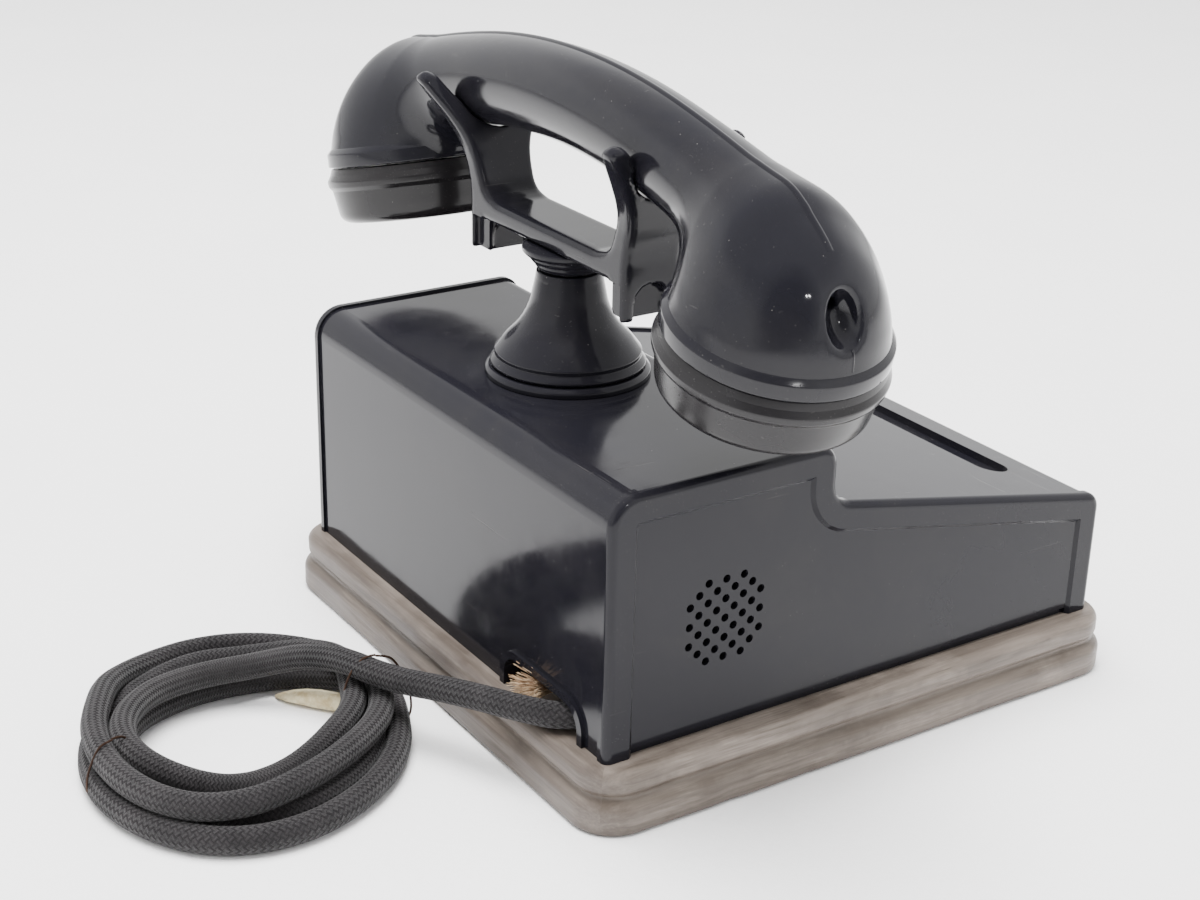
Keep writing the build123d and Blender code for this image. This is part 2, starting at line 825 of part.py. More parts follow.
with BuildPart() as armature_winding:
    with BuildSketch(Plane.YZ.offset(32)):
        with Locations((crank_y, armature_z)):
            Rectangle(15.4, 2 * slot_half - 0.2)
            Rectangle(2 * web_half + 0.2, 2 * slot_half, mode=Mode.SUBTRACT)
    extrude(amount=32)
finish(armature_winding, "armature_winding")


def gear_points(teeth, start_angle):
    """Corner points of a spur gear with slim straight-flanked teeth; the first is at start_angle."""
    pitch_radius = teeth * tooth_module / 2
    levels = [(-1.15, 1.75), (0.0, 1.15), (0.8, 0.6)]
    corners = []
    for tooth in range(teeth):
        middle = start_angle + 2 * pi * tooth / teeth
        flank = [(pitch_radius + rise, width / 2 / (pitch_radius + rise)) for rise, width in levels]
        for radius, half_angle in flank:
            corners.append((radius * cos(middle - half_angle), radius * sin(middle - half_angle)))
        for radius, half_angle in reversed(flank):
            corners.append((radius * cos(middle + half_angle), radius * sin(middle + half_angle)))
    return corners


with BuildPart() as drive_gear:
    with BuildSketch(Plane.YZ.offset(72)):
        with Locations((crank_y, crank_z)):
            Polygon(*gear_points(gear_teeth, -pi / 2), align=None)
            Circle(rod_radius, mode=Mode.SUBTRACT)
            with PolarLocations(13.5, 5):
                Circle(4.2, mode=Mode.SUBTRACT)
    extrude(amount=4)
    with BuildSketch(Plane.YZ.offset(76)):
        with Locations((crank_y, crank_z)):
            Circle(7.5)
            Circle(rod_radius, mode=Mode.SUBTRACT)
    extrude(amount=4)
finish(drive_gear, "drive_gear")

with BuildPart() as pinion:
    with BuildSketch(Plane.YZ.offset(71)):
        with Locations((crank_y, armature_z)):
            Polygon(*gear_points(pinion_teeth, pi / 2 + pi / pinion_teeth), align=None)
            Circle(2.5, mode=Mode.SUBTRACT)
    extrude(amount=6)
finish(pinion, "pinion")

side_face_x = half_width - side_recess
bush_front_x = side_face_x + 2.4
arm_x = 99.5
with BuildPart() as crank_bush:
    with BuildSketch(Plane.YZ.offset(82.5)):
        with Locations((crank_y, crank_z)):
            Circle(8.0)
    extrude(amount=side_face_x - 82.5)
    with BuildSketch(Plane.YZ.offset(side_face_x)):
        with Locations((crank_y, crank_z)):
            Circle(13.0)
    extrude(amount=bush_front_x - side_face_x)
    fillet(crank_bush.edges().filter_by(GeomType.CIRCLE).sort_by(Axis.X)[-1], 1.4)
    with BuildSketch(Plane.YZ.offset(80)):
        with Locations((crank_y, crank_z)):
            Circle(rod_radius + running_clearance)
    extrude(amount=20, mode=Mode.SUBTRACT)
finish(crank_bush, "crank_bush")

with BuildPart() as crank_bush_nut:
    with BuildSketch(Plane.YZ.offset(half_width - wall - 3.4)):
        with Locations((crank_y, crank_z)):
            RegularPolygon(12, 6)
            Circle(8.0, mode=Mode.SUBTRACT)
    extrude(amount=3.4)
finish(crank_bush_nut, "crank_bush_nut")

with BuildPart() as crank_shaft:
    with BuildSketch(Plane.YZ.offset(25)):
        with Locations((crank_y, crank_z)):
            Circle(rod_radius)
    extrude(amount=arm_x + 7 - 25)
    fillet(crank_shaft.edges().sort_by(Axis.X)[-1], 0.8)
finish(crank_shaft, "crank_shaft")

with BuildPart() as crank_arm:
    with BuildSketch(Plane.YZ.offset(bush_front_x + 0.4)):
        with Locations((crank_y, crank_z)):
            Circle(7.0)
    extrude(amount=arm_x - bush_front_x - 0.4)
    with BuildSketch(Plane.YZ.offset(arm_x)):
        with BuildLine():
            Polyline(
                (crank_y - 7.5, crank_z),
                (crank_y - 5.5, crank_z - crank_radius),
                (crank_y + 5.5, crank_z - crank_radius),
                (crank_y + 7.5, crank_z),
                close=True,
            )
        make_face()
        with Locations((crank_y, crank_z)):
            Circle(7.5)
        with Locations((crank_y, crank_z - crank_radius)):
            Circle(5.5)
    extrude(amount=4)
    fillet(crank_arm.edges().filter_by(Plane.YZ).group_by(Axis.X)[-1], 0.8)
    with BuildSketch(Plane.YZ.offset(80)):
        with Locations((crank_y, crank_z)):
            Circle(rod_radius)
    extrude(amount=40, mode=Mode.SUBTRACT)
    with BuildSketch(Plane.YZ.offset(80)):
        with Locations((crank_y, crank_z - crank_radius)):
            Circle(3.0)
    extrude(amount=40, mode=Mode.SUBTRACT)
finish(crank_arm, "crank_arm")

with BuildPart() as crank_nut:
    with BuildSketch(Plane.YZ.offset(arm_x + 4)):
        with Locations((crank_y, crank_z)):
            RegularPolygon(6.2, 6)
            Circle(rod_radius, mode=Mode.SUBTRACT)
    extrude(amount=2.8)
finish(crank_nut, "crank_nut")

knob_start_x = arm_x + 5.0
knob_length = 22.0
knob_radius = 8.0
with BuildPart() as knob_pin:
    with BuildSketch(Plane.YZ.offset(arm_x)):
        with Locations((crank_y, crank_z - crank_radius)):
            Circle(3.0)
    extrude(amount=knob_start_x + knob_length + 0.4 - arm_x)
    with BuildSketch(Plane.YZ.offset(knob_start_x + knob_length + 0.4)):
        with Locations((crank_y, crank_z - crank_radius)):
            Circle(4.6)
    extrude(amount=1.6)
finish(knob_pin, "knob_pin")

with BuildPart() as crank_knob:
    with BuildSketch(Plane.XZ.offset(-crank_y)):
        with BuildLine():
            Polyline(
                (knob_start_x, crank_z - crank_radius + 3.0 + running_clearance),
                (knob_start_x, crank_z - crank_radius + 5.0),
            )
            Spline(
                (knob_start_x, crank_z - crank_radius + 5.0),
                (knob_start_x + 8, crank_z - crank_radius + 7.0),
                (knob_start_x + 16, crank_z - crank_radius + knob_radius),
                (knob_start_x + knob_length, crank_z - crank_radius + 5.4),
            )
            Polyline(
                (knob_start_x + knob_length, crank_z - crank_radius + 5.4),
                (knob_start_x + knob_length, crank_z - crank_radius + 3.0 + running_clearance),
                (knob_start_x, crank_z - crank_radius + 3.0 + running_clearance),
            )
        make_face()
    revolve(axis=Axis((0, crank_y, crank_z - crank_radius), (1, 0, 0)))
finish(crank_knob, "crank_knob")

# ------------------------------------------------------------------ ringer
ringer_y = 45.0
ringer_z = 53.0
clapper_pivot_x = -31.0
gong_x = -62.0
gong_offset = 24.4
gong_radius = 19.0
gong_rim_z = 50.0
gong_top_z = 60.0
coil_offset = 12.0
gong_places = [(gong_x, ringer_y - gong_offset), (gong_x, ringer_y + gong_offset)]

with BuildPart() as ringer_frame:
    with BuildSketch(Plane.XY.offset(chassis_top_z)):
        with Locations((-15.5, ringer_y)):
            Rectangle(41, 34)
    extrude(amount=2)
    with BuildSketch(Plane.YZ.offset(2)):
        with Locations((ringer_y, chassis_top_z)):
            Rectangle(38, 43, align=(Align.CENTER, Align.MIN))
    extrude(amount=3)
    with BuildSketch(Plane.XY.offset(62.5)):
        with Locations((-16, ringer_y)):
            Rectangle(38, 8)
    extrude(amount=2)
    with BuildSketch(Plane.XY.offset(chassis_top_z)):
        with Locations((clapper_pivot_x, ringer_y)):
            Circle(3.0)
    extrude(amount=46 - chassis_top_z)
    with BuildSketch(Plane.XY.offset(44)):
        with Locations((clapper_pivot_x, ringer_y)):
            Circle(1.5)
    extrude(amount=22, mode=Mode.SUBTRACT)
    with BuildSketch(Plane.YZ.offset(2)):
        for side in (-1, 1):
            with Locations((ringer_y + side * coil_offset, ringer_z)):
                Circle(2.5)
    extrude(amount=4, mode=Mode.SUBTRACT)
finish(ringer_frame, "ringer_frame")

with BuildPart() as ringer_cores:
    for side in (-1, 1):
        with BuildSketch(Plane.YZ.offset(-26)):
            with Locations((ringer_y + side * coil_offset, ringer_z)):
                Circle(4.0)
        extrude(amount=28)
        with BuildSketch(Plane.YZ.offset(2)):
            with Locations((ringer_y + side * coil_offset, ringer_z)):
                Circle(2.5)
        extrude(amount=3)
finish(ringer_cores, "ringer_cores")

with BuildPart() as ringer_bobbins:
    for side in (-1, 1):
        for start, radius, length in ((-24.2, 9.5, 1.2), (-23.0, 4.8, 23.0), (0.0, 9.5, 1.2)):
            with BuildSketch(Plane.YZ.offset(start)):
                with Locations((ringer_y + side * coil_offset, ringer_z)):
                    Circle(radius)
                    Circle(4.0, mode=Mode.SUBTRACT)
            extrude(amount=length)
finish(ringer_bobbins, "ringer_bobbins")

with BuildPart() as ringer_coils:
    for side in (-1, 1):
        with BuildSketch(Plane.YZ.offset(-23)):
            with Locations((ringer_y + side * coil_offset, ringer_z)):
                Circle(8.8)
                Circle(4.8, mode=Mode.SUBTRACT)
        extrude(amount=23)
finish(ringer_coils, "ringer_coils")

with BuildPart() as clapper_pin:
    with BuildSketch(Plane.XY.offset(44)):
        with Locations((clapper_pivot_x, ringer_y)):
            Circle(1.5)
    extrude(amount=22)
finish(clapper_pin, "clapper_pin")

with BuildPart() as clapper_armature:
    with BuildSketch(Plane.XY.offset(47)):
        with Locations((clapper_pivot_x, ringer_y)):
            Circle(3.2)
    extrude(amount=14)
    with BuildSketch(Plane.XY.offset(49)):
        with Locations((clapper_pivot_x, ringer_y)):
            Rectangle(3.0, 32)
    extrude(amount=8)
    with BuildSketch(Plane.XY.offset(46)):
        with Locations((clapper_pivot_x, ringer_y)):
            Circle(1.5 + running_clearance)
    extrude(amount=20, mode=Mode.SUBTRACT)
finish(clapper_armature, "clapper_armature")

with BuildPart() as clapper:
    with BuildSketch(Plane.XY.offset(ringer_z)):
        with BuildLine():
            Polyline(
                (gong_x + 2.29, ringer_y + 1),
                (clapper_pivot_x - 3.15, ringer_y + 1),
                (clapper_pivot_x - 3.15, ringer_y),
                (gong_x - 2.5, ringer_y),
            )
            ThreePointArc((gong_x - 2.5, ringer_y), (gong_x, ringer_y + 2.5), (gong_x + 2.29, ringer_y + 1))
        make_face()
    revolve(axis=Axis((gong_x, ringer_y, ringer_z), (1, 0, 0)))
finish(clapper, "clapper")

with BuildPart() as gongs:
    for x, y in gong_places:
        with BuildSketch(Plane(origin=(x, y, 0), x_dir=(1, 0, 0), z_dir=(0, -1, 0))):
            with BuildLine():
                Polyline((2.0, gong_top_z - 1.5), (2.0, gong_top_z), (7.0, gong_top_z))
                Spline(
                    (7.0, gong_top_z),
                    (14.5, gong_top_z - 2.6),
                    (gong_radius, gong_rim_z),
                    tangents=[(1, 0), (0.15, -1)],
                )
                Line((gong_radius, gong_rim_z), (gong_radius - 1.5, gong_rim_z))
                Spline(
                    (gong_radius - 1.5, gong_rim_z),
                    (13.6, gong_top_z - 3.9),
                    (7.0, gong_top_z - 1.5),
                    tangents=[(-0.15, 1), (-1, 0)],
                )
                Line((7.0, gong_top_z - 1.5), (2.0, gong_top_z - 1.5))
            make_face()
        revolve(axis=Axis((x, y, 0), (0, 0, 1)))
finish(gongs, "gongs")

with BuildPart() as gong_posts:
    for x, y in gong_places:
        with BuildSketch(Plane.XY.offset(chassis_top_z)):
            with Locations((x, y)):
                Circle(3.2)
        extrude(amount=gong_top_z - 1.5 - chassis_top_z)
        with BuildSketch(Plane.XY.offset(gong_top_z - 10)):
            with Locations((x, y)):
                Circle(2.0)
        extrude(amount=10, mode=Mode.SUBTRACT)
finish(gong_posts, "gong_posts")

with BuildPart() as gong_screws:
    for x, y in gong_places:
        with BuildSketch(Plane.XY.offset(gong_top_z - 9)):
            with Locations((x, y)):
                Circle(1.95)
        extrude(amount=9)
        with BuildSketch(Plane.XY.offset(gong_top_z)):
            with Locations((x, y)):
                Circle(4.0)
        extrude(amount=2.2)
finish(gong_screws, "gong_screws")

# ------------------------------------------------------------------ speech circuit and line terminals
coil_y = -45.0
coil_z = 33.5
with BuildPart() as induction_core:
    with BuildSketch(Plane.YZ.offset(-70)):
        with Locations((coil_y, coil_z)):
            Circle(4.0)
    extrude(amount=60)
finish(induction_core, "induction_core")

with BuildPart() as induction_cheeks:
    for start in (-68.0, -15.0):
        with BuildSketch(Plane.YZ.offset(start)):
            with Locations((coil_y, coil_z)):
                RectangleRounded(24, 24, 2)
                Circle(4.0, mode=Mode.SUBTRACT)
        extrude(amount=3)
finish(induction_cheeks, "induction_cheeks")

with BuildPart() as induction_winding:
    with BuildSketch(Plane.YZ.offset(-65)):
        with Locations((coil_y, coil_z)):
            Circle(10.8)
            Circle(4.0, mode=Mode.SUBTRACT)
    extrude(amount=50)
finish(induction_winding, "induction_winding")

with BuildPart() as capacitor:
    with BuildSketch(Plane.XY.offset(chassis_top_z)):
        with Locations((-44, -12)):
            RectangleRounded(44, 16, 2)
    extrude(amount=25)
    fillet(capacitor.edges().group_by(Axis.Z)[-1], 1.0)
finish(capacitor, "capacitor")

terminal_places = [(-28.0 + 7.5 * k, 79.0) for k in range(5)]
with BuildPart() as terminal_block:
    with BuildSketch(Plane.XY.offset(chassis_top_z)):
        with Locations((-13, 77)):
            RectangleRounded(38, 12, 1.5)
    extrude(amount=9)
    with BuildSketch(Plane.XY.offset(chassis_top_z + 4)):
        with Locations(terminal_places):
            Circle(1.5)
    extrude(amount=6, mode=Mode.SUBTRACT)
finish(terminal_block, "terminal_block")

with BuildPart() as terminal_screws:
    for x, y in terminal_places:
        with BuildSketch(Plane.XY.offset(chassis_top_z + 4.5)):
            with Locations((x, y)):
                Circle(1.45)
        extrude(amount=4.5)
        with BuildSketch(Plane.XY.offset(chassis_top_z + 9)):
            with Locations((x, y)):
                Circle(2.6)
        extrude(amount=1.8)
finish(terminal_screws, "terminal_screws")

# ------------------------------------------------------------------ line cord
cord_route = [
    (-75.5, 79.5, 26.2),
    (-69.0, 92.3, 24.7),
    (-57.8, 100.6, 24.6),
    (-44.0, 107.0, 23.5),
    (-30.5, 112.0, 21.2),
    (-20.0, 118.5, 20.2),
    (-11.0, 123.4, 20.3),
    (0.5, 127.5, 17.0),
]


def turn_radii(route):
    """Radius of each arc: 0.45 of the shorter run over the tangent of half the turn."""
    radii = []
    for before, corner, after in zip(route, route[1:], route[2:]):
        run_in = Vector(*corner) - Vector(*before)
        run_out = Vector(*after) - Vector(*corner)
        shorter = min(run_in.length, run_out.length)
        radii.append(0.45 * shorter / tan(radians(run_in.get_angle(run_out)) / 2))
    return radii


cord_radii = turn_radii(cord_route)
print("line cord arc radii", [round(radius, 1) for radius in cord_radii])
with BuildPart() as line_cord:
    with BuildLine() as cord_line:
        FilletPolyline(*cord_route, radius=cord_radii)
    cord_path = cord_line.wire()
    with BuildSketch(Plane(origin=cord_path @ 0, z_dir=cord_path % 0)):
        Circle(cord_radius)
    sweep(path=cord_path)
straight_volume = pi * cord_radius**2 * cord_path.length
print("line cord tube length", round(cord_path.length, 1))
print("line cord volume over section times length", round(line_cord.part.volume / straight_volume, 4))
finish(line_cord, "line_cord")

coil_centre = (3.0, 160.0)
coil_turn = -20.0
coil_height = 16.5
with BuildPart() as line_cord_coil:
    with BuildSketch():
        with Locations(Location((coil_centre[0], coil_centre[1], 0), (0, 0, coil_turn))):
            Ellipse(64, 51)
        with Locations((coil_centre[0] - 1.5, coil_centre[1] + 2.5)):
            Ellipse(22, 29.5, mode=Mode.SUBTRACT)
    extrude(amount=coil_height)
    fillet(line_cord_coil.edges().group_by(Axis.Z)[-1], 3.5)
finish(line_cord_coil, "line_cord_coil")

with BuildPart() as cord_clamp:
    clamp_plane = Plane(
        origin=cord_path @ 0.02,
        x_dir=(cos(radians(-36.5)), sin(radians(-36.5)), 0),
        z_dir=(sin(radians(36.5)), cos(radians(36.5)), 0),
    )
    with BuildSketch(clamp_plane):
        Circle(5.4)
        with Locations((0, 0)):
            Rectangle(10.8, 9, align=(Align.CENTER, Align.MIN))
            Rectangle(10.8, 9, align=(Align.CENTER, Align.MAX))
        Circle(cord_radius, mode=Mode.SUBTRACT)
    extrude(amount=4)
    with BuildSketch(Plane.XY.offset(chassis_top_z)):
        Rectangle(300, 300)
    extrude(amount=9.5, mode=Mode.INTERSECT)
finish(cord_clamp, "cord_clamp")

stub_x = -51.5
with BuildPart() as handset_cord_stub:
    with BuildSketch(Plane.XZ.offset(-78)):
        with Locations((stub_x, 25.2)):
            Circle(3.2)
    extrude(amount=-15.5)
finish(handset_cord_stub, "handset_cord_stub")
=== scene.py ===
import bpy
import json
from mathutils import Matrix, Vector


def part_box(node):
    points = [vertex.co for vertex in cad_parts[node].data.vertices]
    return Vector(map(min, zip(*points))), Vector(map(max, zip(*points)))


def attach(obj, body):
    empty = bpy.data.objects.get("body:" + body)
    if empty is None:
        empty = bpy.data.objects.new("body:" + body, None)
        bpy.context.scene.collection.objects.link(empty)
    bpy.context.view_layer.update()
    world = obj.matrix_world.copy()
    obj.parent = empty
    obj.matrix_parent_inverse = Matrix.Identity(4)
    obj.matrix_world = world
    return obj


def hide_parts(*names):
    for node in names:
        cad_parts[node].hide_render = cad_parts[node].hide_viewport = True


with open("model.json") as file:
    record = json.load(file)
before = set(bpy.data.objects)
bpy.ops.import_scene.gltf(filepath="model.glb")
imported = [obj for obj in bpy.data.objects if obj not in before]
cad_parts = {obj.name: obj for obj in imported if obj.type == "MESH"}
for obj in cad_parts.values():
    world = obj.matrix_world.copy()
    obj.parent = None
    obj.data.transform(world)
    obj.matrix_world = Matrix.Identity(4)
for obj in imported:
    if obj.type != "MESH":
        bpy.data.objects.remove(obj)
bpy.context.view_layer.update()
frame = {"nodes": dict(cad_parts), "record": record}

import json
import math
import bpy
import numpy as np
from mathutils import Matrix, Vector

MM = 0.001
nodes = frame["nodes"]

# ------------------------------------------------------------------ camera
camera_data = bpy.data.cameras.new("camera")
camera_data.lens = 59.8
camera_data.sensor_width = 36.0
camera_data.clip_start = 0.02
camera_data.clip_end = 60.0
camera = bpy.data.objects.new("camera", camera_data)
bpy.context.scene.collection.objects.link(camera)
azimuth, elevation, roll = math.radians(236.37), math.radians(22.88), 0.0240
back = Vector(
    (math.sin(azimuth) * math.cos(elevation), -math.cos(azimuth) * math.cos(elevation), math.sin(elevation))
)
right = Vector((math.cos(azimuth), math.sin(azimuth), 0.0))
up = back.cross(right)
rolled_right = math.cos(roll) * right + math.sin(roll) * up
rolled_up = math.cos(roll) * up - math.sin(roll) * right
camera.matrix_world = Matrix.Translation((-0.4817, 0.3579, 0.3144)) @ Matrix(
    (rolled_right, rolled_up, back)
).transposed().to_4x4()
bpy.context.scene.camera = camera


# ------------------------------------------------------------------ node materials
class Shader:
    """A principled material whose nodes are added one by one; positions are object coordinates in metres."""

    def __init__(self, name, **sockets):
        self.material = bpy.data.materials.new(name)
        self.material.use_nodes = True
        self.tree = self.material.node_tree
        self.bsdf = self.tree.nodes["Principled BSDF"]
        for key, value in sockets.items():
            self.bsdf.inputs[key.replace("_", " ")].default_value = value
        self.place = self.add("ShaderNodeTexCoord").outputs["Object"]

    def add(self, kind, inputs=(), **settings):
        made = self.tree.nodes.new(kind)
        for key, value in settings.items():
            setattr(made, key, value)
        for key, value in dict(inputs).items():
            if isinstance(value, bpy.types.NodeSocket):
                self.tree.links.new(value, made.inputs[key])
            else:
                made.inputs[key].default_value = value
        return made

    def link(self, value, socket):
        self.tree.links.new(value, self.bsdf.inputs[socket])

    def stretched(self, scale, turn=(0, 0, 0)):
        return self.add(
            "ShaderNodeMapping", {"Vector": self.place, "Scale": scale, "Rotation": turn}
        ).outputs["Vector"]

    def noise(self, scale, detail=4.0, rough=0.55, where=None, distortion=0.0):
        return self.add(
            "ShaderNodeTexNoise",
            {
                "Vector": where or self.place,
                "Scale": scale,
                "Detail": detail,
                "Roughness": rough,
                "Distortion": distortion,
            },
        ).outputs["Fac"]

    def span(self, value, low, high, to_low=0.0, to_high=1.0):
        return self.add(
            "ShaderNodeMapRange",
            {"Value": value, "From Min": low, "From Max": high, "To Min": to_low, "To Max": to_high},
        ).outputs["Result"]

    def math(self, operation, a, b=0.5):
        made = self.add("ShaderNodeMath", operation=operation)
        for k, value in enumerate((a, b)):
            if isinstance(value, bpy.types.NodeSocket):
                self.tree.links.new(value, made.inputs[k])
            else:
                made.inputs[k].default_value = value
        return made.outputs["Value"]

    def mix(self, fac, a, b):
        made = self.add("ShaderNodeMix", data_type="RGBA")
        for key, value in ((0, fac), (6, a), (7, b)):
            if isinstance(value, bpy.types.NodeSocket):
                self.tree.links.new(value, made.inputs[key])
            else:
                made.inputs[key].default_value = value if key == 0 else (*value, 1.0)
        return made.outputs[2]

    def bump(self, height, distance, strength=1.0, under=None):
        made = self.add("ShaderNodeBump", {"Height": height, "Distance": distance, "Strength": strength})
        if under is not None:
            self.tree.links.new(under, made.inputs["Normal"])
        return made.outputs["Normal"]


def specks(shader, scale, size, share):
    """A mask of small dots, one in a share of the cells."""
    cells = shader.add("ShaderNodeTexVoronoi", {"Vector": shader.place, "Scale": scale})
    dots = shader.span(cells.outputs["Distance"], size, size * 0.5)
    chosen = shader.add("ShaderNodeSeparateColor", {"Color": cells.outputs["Color"]}).outputs["Red"]
    return shader.math("MULTIPLY", dots, shader.math("GREATER_THAN", chosen, 1.0 - share))


def bakelite(name, haze=0.0, dust=1.0, tone=(0.0068, 0.0066, 0.0094), wave=0.00006, gloss=0.22):
    """Polished black phenolic: handled sheen, dust specks, hair scratches and a faint mould wave."""
    s = Shader(name, Specular_IOR_Level=gloss, IOR=1.58)
    smear = s.noise(24.0, 4.0, 0.62, distortion=0.8)
    rubbed = s.noise(150.0, 4.0, 0.6, where=s.stretched((1.0, 0.45, 1.0), (0.3, 0.5, 0.9)))
    lint = specks(s, 430.0, 0.075, 0.20 * dust)
    fine = specks(s, 1300.0, 0.15, 0.32 * dust)
    drift = s.span(s.noise(60.0, 3.0, 0.6), 0.44, 0.62)
    long_marks = s.noise(900.0, 1.0, 0.5, where=s.stretched((0.03, 1.0, 1.0), (0.4, 0.25, 0.7)))
    cross_marks = s.noise(900.0, 1.0, 0.5, where=s.stretched((1.0, 0.03, 1.0), (0.15, 0.35, 0.45)))
    hair = s.math("MAXIMUM", s.span(long_marks, 0.735, 0.77), s.span(cross_marks, 0.745, 0.78))
    hair = s.math("MULTIPLY", hair, s.span(smear, 0.46, 0.62))
    film = s.span(smear, 0.46, 0.72)
    marks = s.math("MAXIMUM", s.math("MULTIPLY", s.math("MULTIPLY", fine, drift), 0.5), lint)
    marks = s.math("MAXIMUM", marks, s.math("MULTIPLY", hair, 0.14))
    body = s.mix(s.math("MULTIPLY", film, 0.6), tone, (0.0130, 0.0122, 0.0138))
    s.link(s.mix(s.math("MULTIPLY", marks, 0.42), body, (0.24, 0.23, 0.21)), "Base Color")
    polish = s.span(smear, 0.34, 0.74, 0.045 + haze, 0.17 + haze)
    polish = s.math("ADD", polish, s.math("MULTIPLY", s.span(rubbed, 0.45, 0.75), 0.06))
    polish = s.math("ADD", polish, s.math("MULTIPLY", marks, 0.35))
    s.link(polish, "Roughness")
    sink = s.noise(22.0, 2.0, 0.45)
    swell = s.bump(sink, wave * 5.0, 0.35)
    s.link(s.bump(s.math("SUBTRACT", marks, s.math("MULTIPLY", hair, 1.3)), 0.00004, 0.5, swell), "Normal")
    return s.material


def plated(name, tone=(0.50, 0.49, 0.46), rough=0.22):
    """Nickel-plated steel, dulled in patches, with fine brown freckles."""
    s = Shader(name, Metallic=1.0)
    patch = s.noise(70.0, 5.0, 0.65)
    freckle = specks(s, 700.0, 0.14, 0.35)
    dark = tuple(c * 0.55 for c in tone)
    aged = s.mix(s.span(patch, 0.38, 0.70), tone, dark)
    s.link(s.mix(s.math("MULTIPLY", freckle, 0.7), aged, (0.12, 0.06, 0.03)), "Base Color")
    s.link(s.span(patch, 0.3, 0.8, rough, rough + 0.25), "Roughness")
    turned = s.noise(1100.0, 2.0, 0.5, where=s.stretched((1.0, 0.08, 0.08)))
    s.link(s.bump(turned, 0.00001, 0.4), "Normal")
    return s.material


def sheet_metal(name, tone, rough=0.45):
    """Lacquered or plain sheet with mill marks and stains."""
    s = Shader(name, Metallic=0.85)
    stain = s.noise(55.0, 5.0, 0.6)
    mill = s.noise(600.0, 2.0, 0.5, where=s.stretched((0.05, 1.0, 1.0)))
    s.link(s.mix(s.span(stain, 0.35, 0.75), tone, tuple(c * 0.45 for c in tone)), "Base Color")
    s.link(s.span(mill, 0.2, 0.8, rough - 0.1, rough + 0.15), "Roughness")
    s.link(s.bump(mill, 0.00002, 0.3), "Normal")
    return s.material


def fibre_board(name, tone):
    """Pressed fibre or cotton-wound insulation with a close grain."""
    s = Shader(name, Specular_IOR_Level=0.3)
    grain = s.noise(800.0, 4.0, 0.7, where=s.stretched((1.0, 0.2, 1.0)))
    blotch = s.noise(60.0, 3.0, 0.5)
    s.link(s.mix(s.span(blotch, 0.3, 0.7), tone, tuple(c * 0.6 for c in tone)), "Base Color")
    s.link(s.span(grain, 0.2, 0.8, 0.55, 0.8), "Roughness")
    s.link(s.bump(grain, 0.00004, 0.5), "Normal")
    return s.material


def wood(name):
    """Old hardwood moulding with a dark stain, rubbed to grey-brown, its grain along each side of the plinth;
    its +Y side carries painted shade.
    """
    s = Shader(name, Specular_IOR_Level=0.32)
    parts = s.add("ShaderNodeSeparateXYZ", {"Vector": s.place})
    longer_half = 0.0032
    side = s.math(
        "GREATER_THAN",
        s.math("ABSOLUTE", parts.outputs["X"]),
        s.math("SUBTRACT", s.math("ABSOLUTE", parts.outputs["Y"]), longer_half),
    )
    along_x = s.stretched((0.05, 1.0, 1.0))
    along_y = s.stretched((1.0, 0.05, 1.0))
    run = s.add("ShaderNodeMix", data_type="VECTOR")
    s.tree.links.new(side, run.inputs[0])
    s.tree.links.new(along_x, run.inputs[4])
    s.tree.links.new(along_y, run.inputs[5])
    grain_place = run.outputs[1]
    fine = s.noise(1700.0, 4.0, 0.62, where=grain_place)
    broad = s.noise(330.0, 5.0, 0.62, where=grain_place, distortion=0.7)
    patch = s.noise(34.0, 5.0, 0.6)
    worn = s.noise(150.0, 6.0, 0.7, where=grain_place, distortion=0.5)
    grey = s.mix(s.span(broad, 0.32, 0.66), (0.185, 0.155, 0.132), (0.080, 0.064, 0.052))
    bare = s.mix(s.span(fine, 0.3, 0.75), (0.275, 0.235, 0.202), (0.150, 0.124, 0.103))
    mixed = s.mix(s.span(patch, 0.42, 0.60), grey, bare)
    dirt = s.math("MULTIPLY", s.span(worn, 0.48, 0.66), s.span(patch, 0.40, 0.56))
    dirt_and_back_shade = s.mix(s.math("MULTIPLY", dirt, 0.75), mixed, (0.050, 0.036, 0.026))
    height = parts.outputs["Z"]
    streak = s.span(s.noise(90.0, 4.0, 0.6, where=grain_place), 0.40, 0.60)
    groove = s.math("MULTIPLY", s.span(height, 0.0050, 0.0105), s.span(height, 0.0150, 0.0122))
    groove = s.math("MULTIPLY", groove, s.math("ADD", s.math("MULTIPLY", streak, 0.75), 0.2))
    foot = s.math("MULTIPLY", s.span(height, 0.0035, 0.0004), 0.9)
    shade = s.math("MULTIPLY", s.math("MAXIMUM", groove, foot), 0.80)
    # painted shade: the +Y side of the plinth is coloured darker, in patches that follow the wear noise
    back_shade_patches = s.span(worn, 0.36, 0.60, 0.42, 0.62)
    painted_back_shade = s.math("MULTIPLY", s.span(parts.outputs["Y"], 0.0880, 0.0975), back_shade_patches)
    dirt_and_back_shade = s.mix(painted_back_shade, dirt_and_back_shade, (0.052, 0.041, 0.036))
    s.link(s.mix(shade, dirt_and_back_shade, (0.058, 0.044, 0.033)), "Base Color")
    s.link(s.span(patch, 0.35, 0.7, 0.34, 0.58), "Roughness")
    relief = s.math("ADD", s.math("MULTIPLY", fine, 0.4), broad)
    s.link(s.bump(relief, 0.00030, 0.8), "Normal")
    return s.material


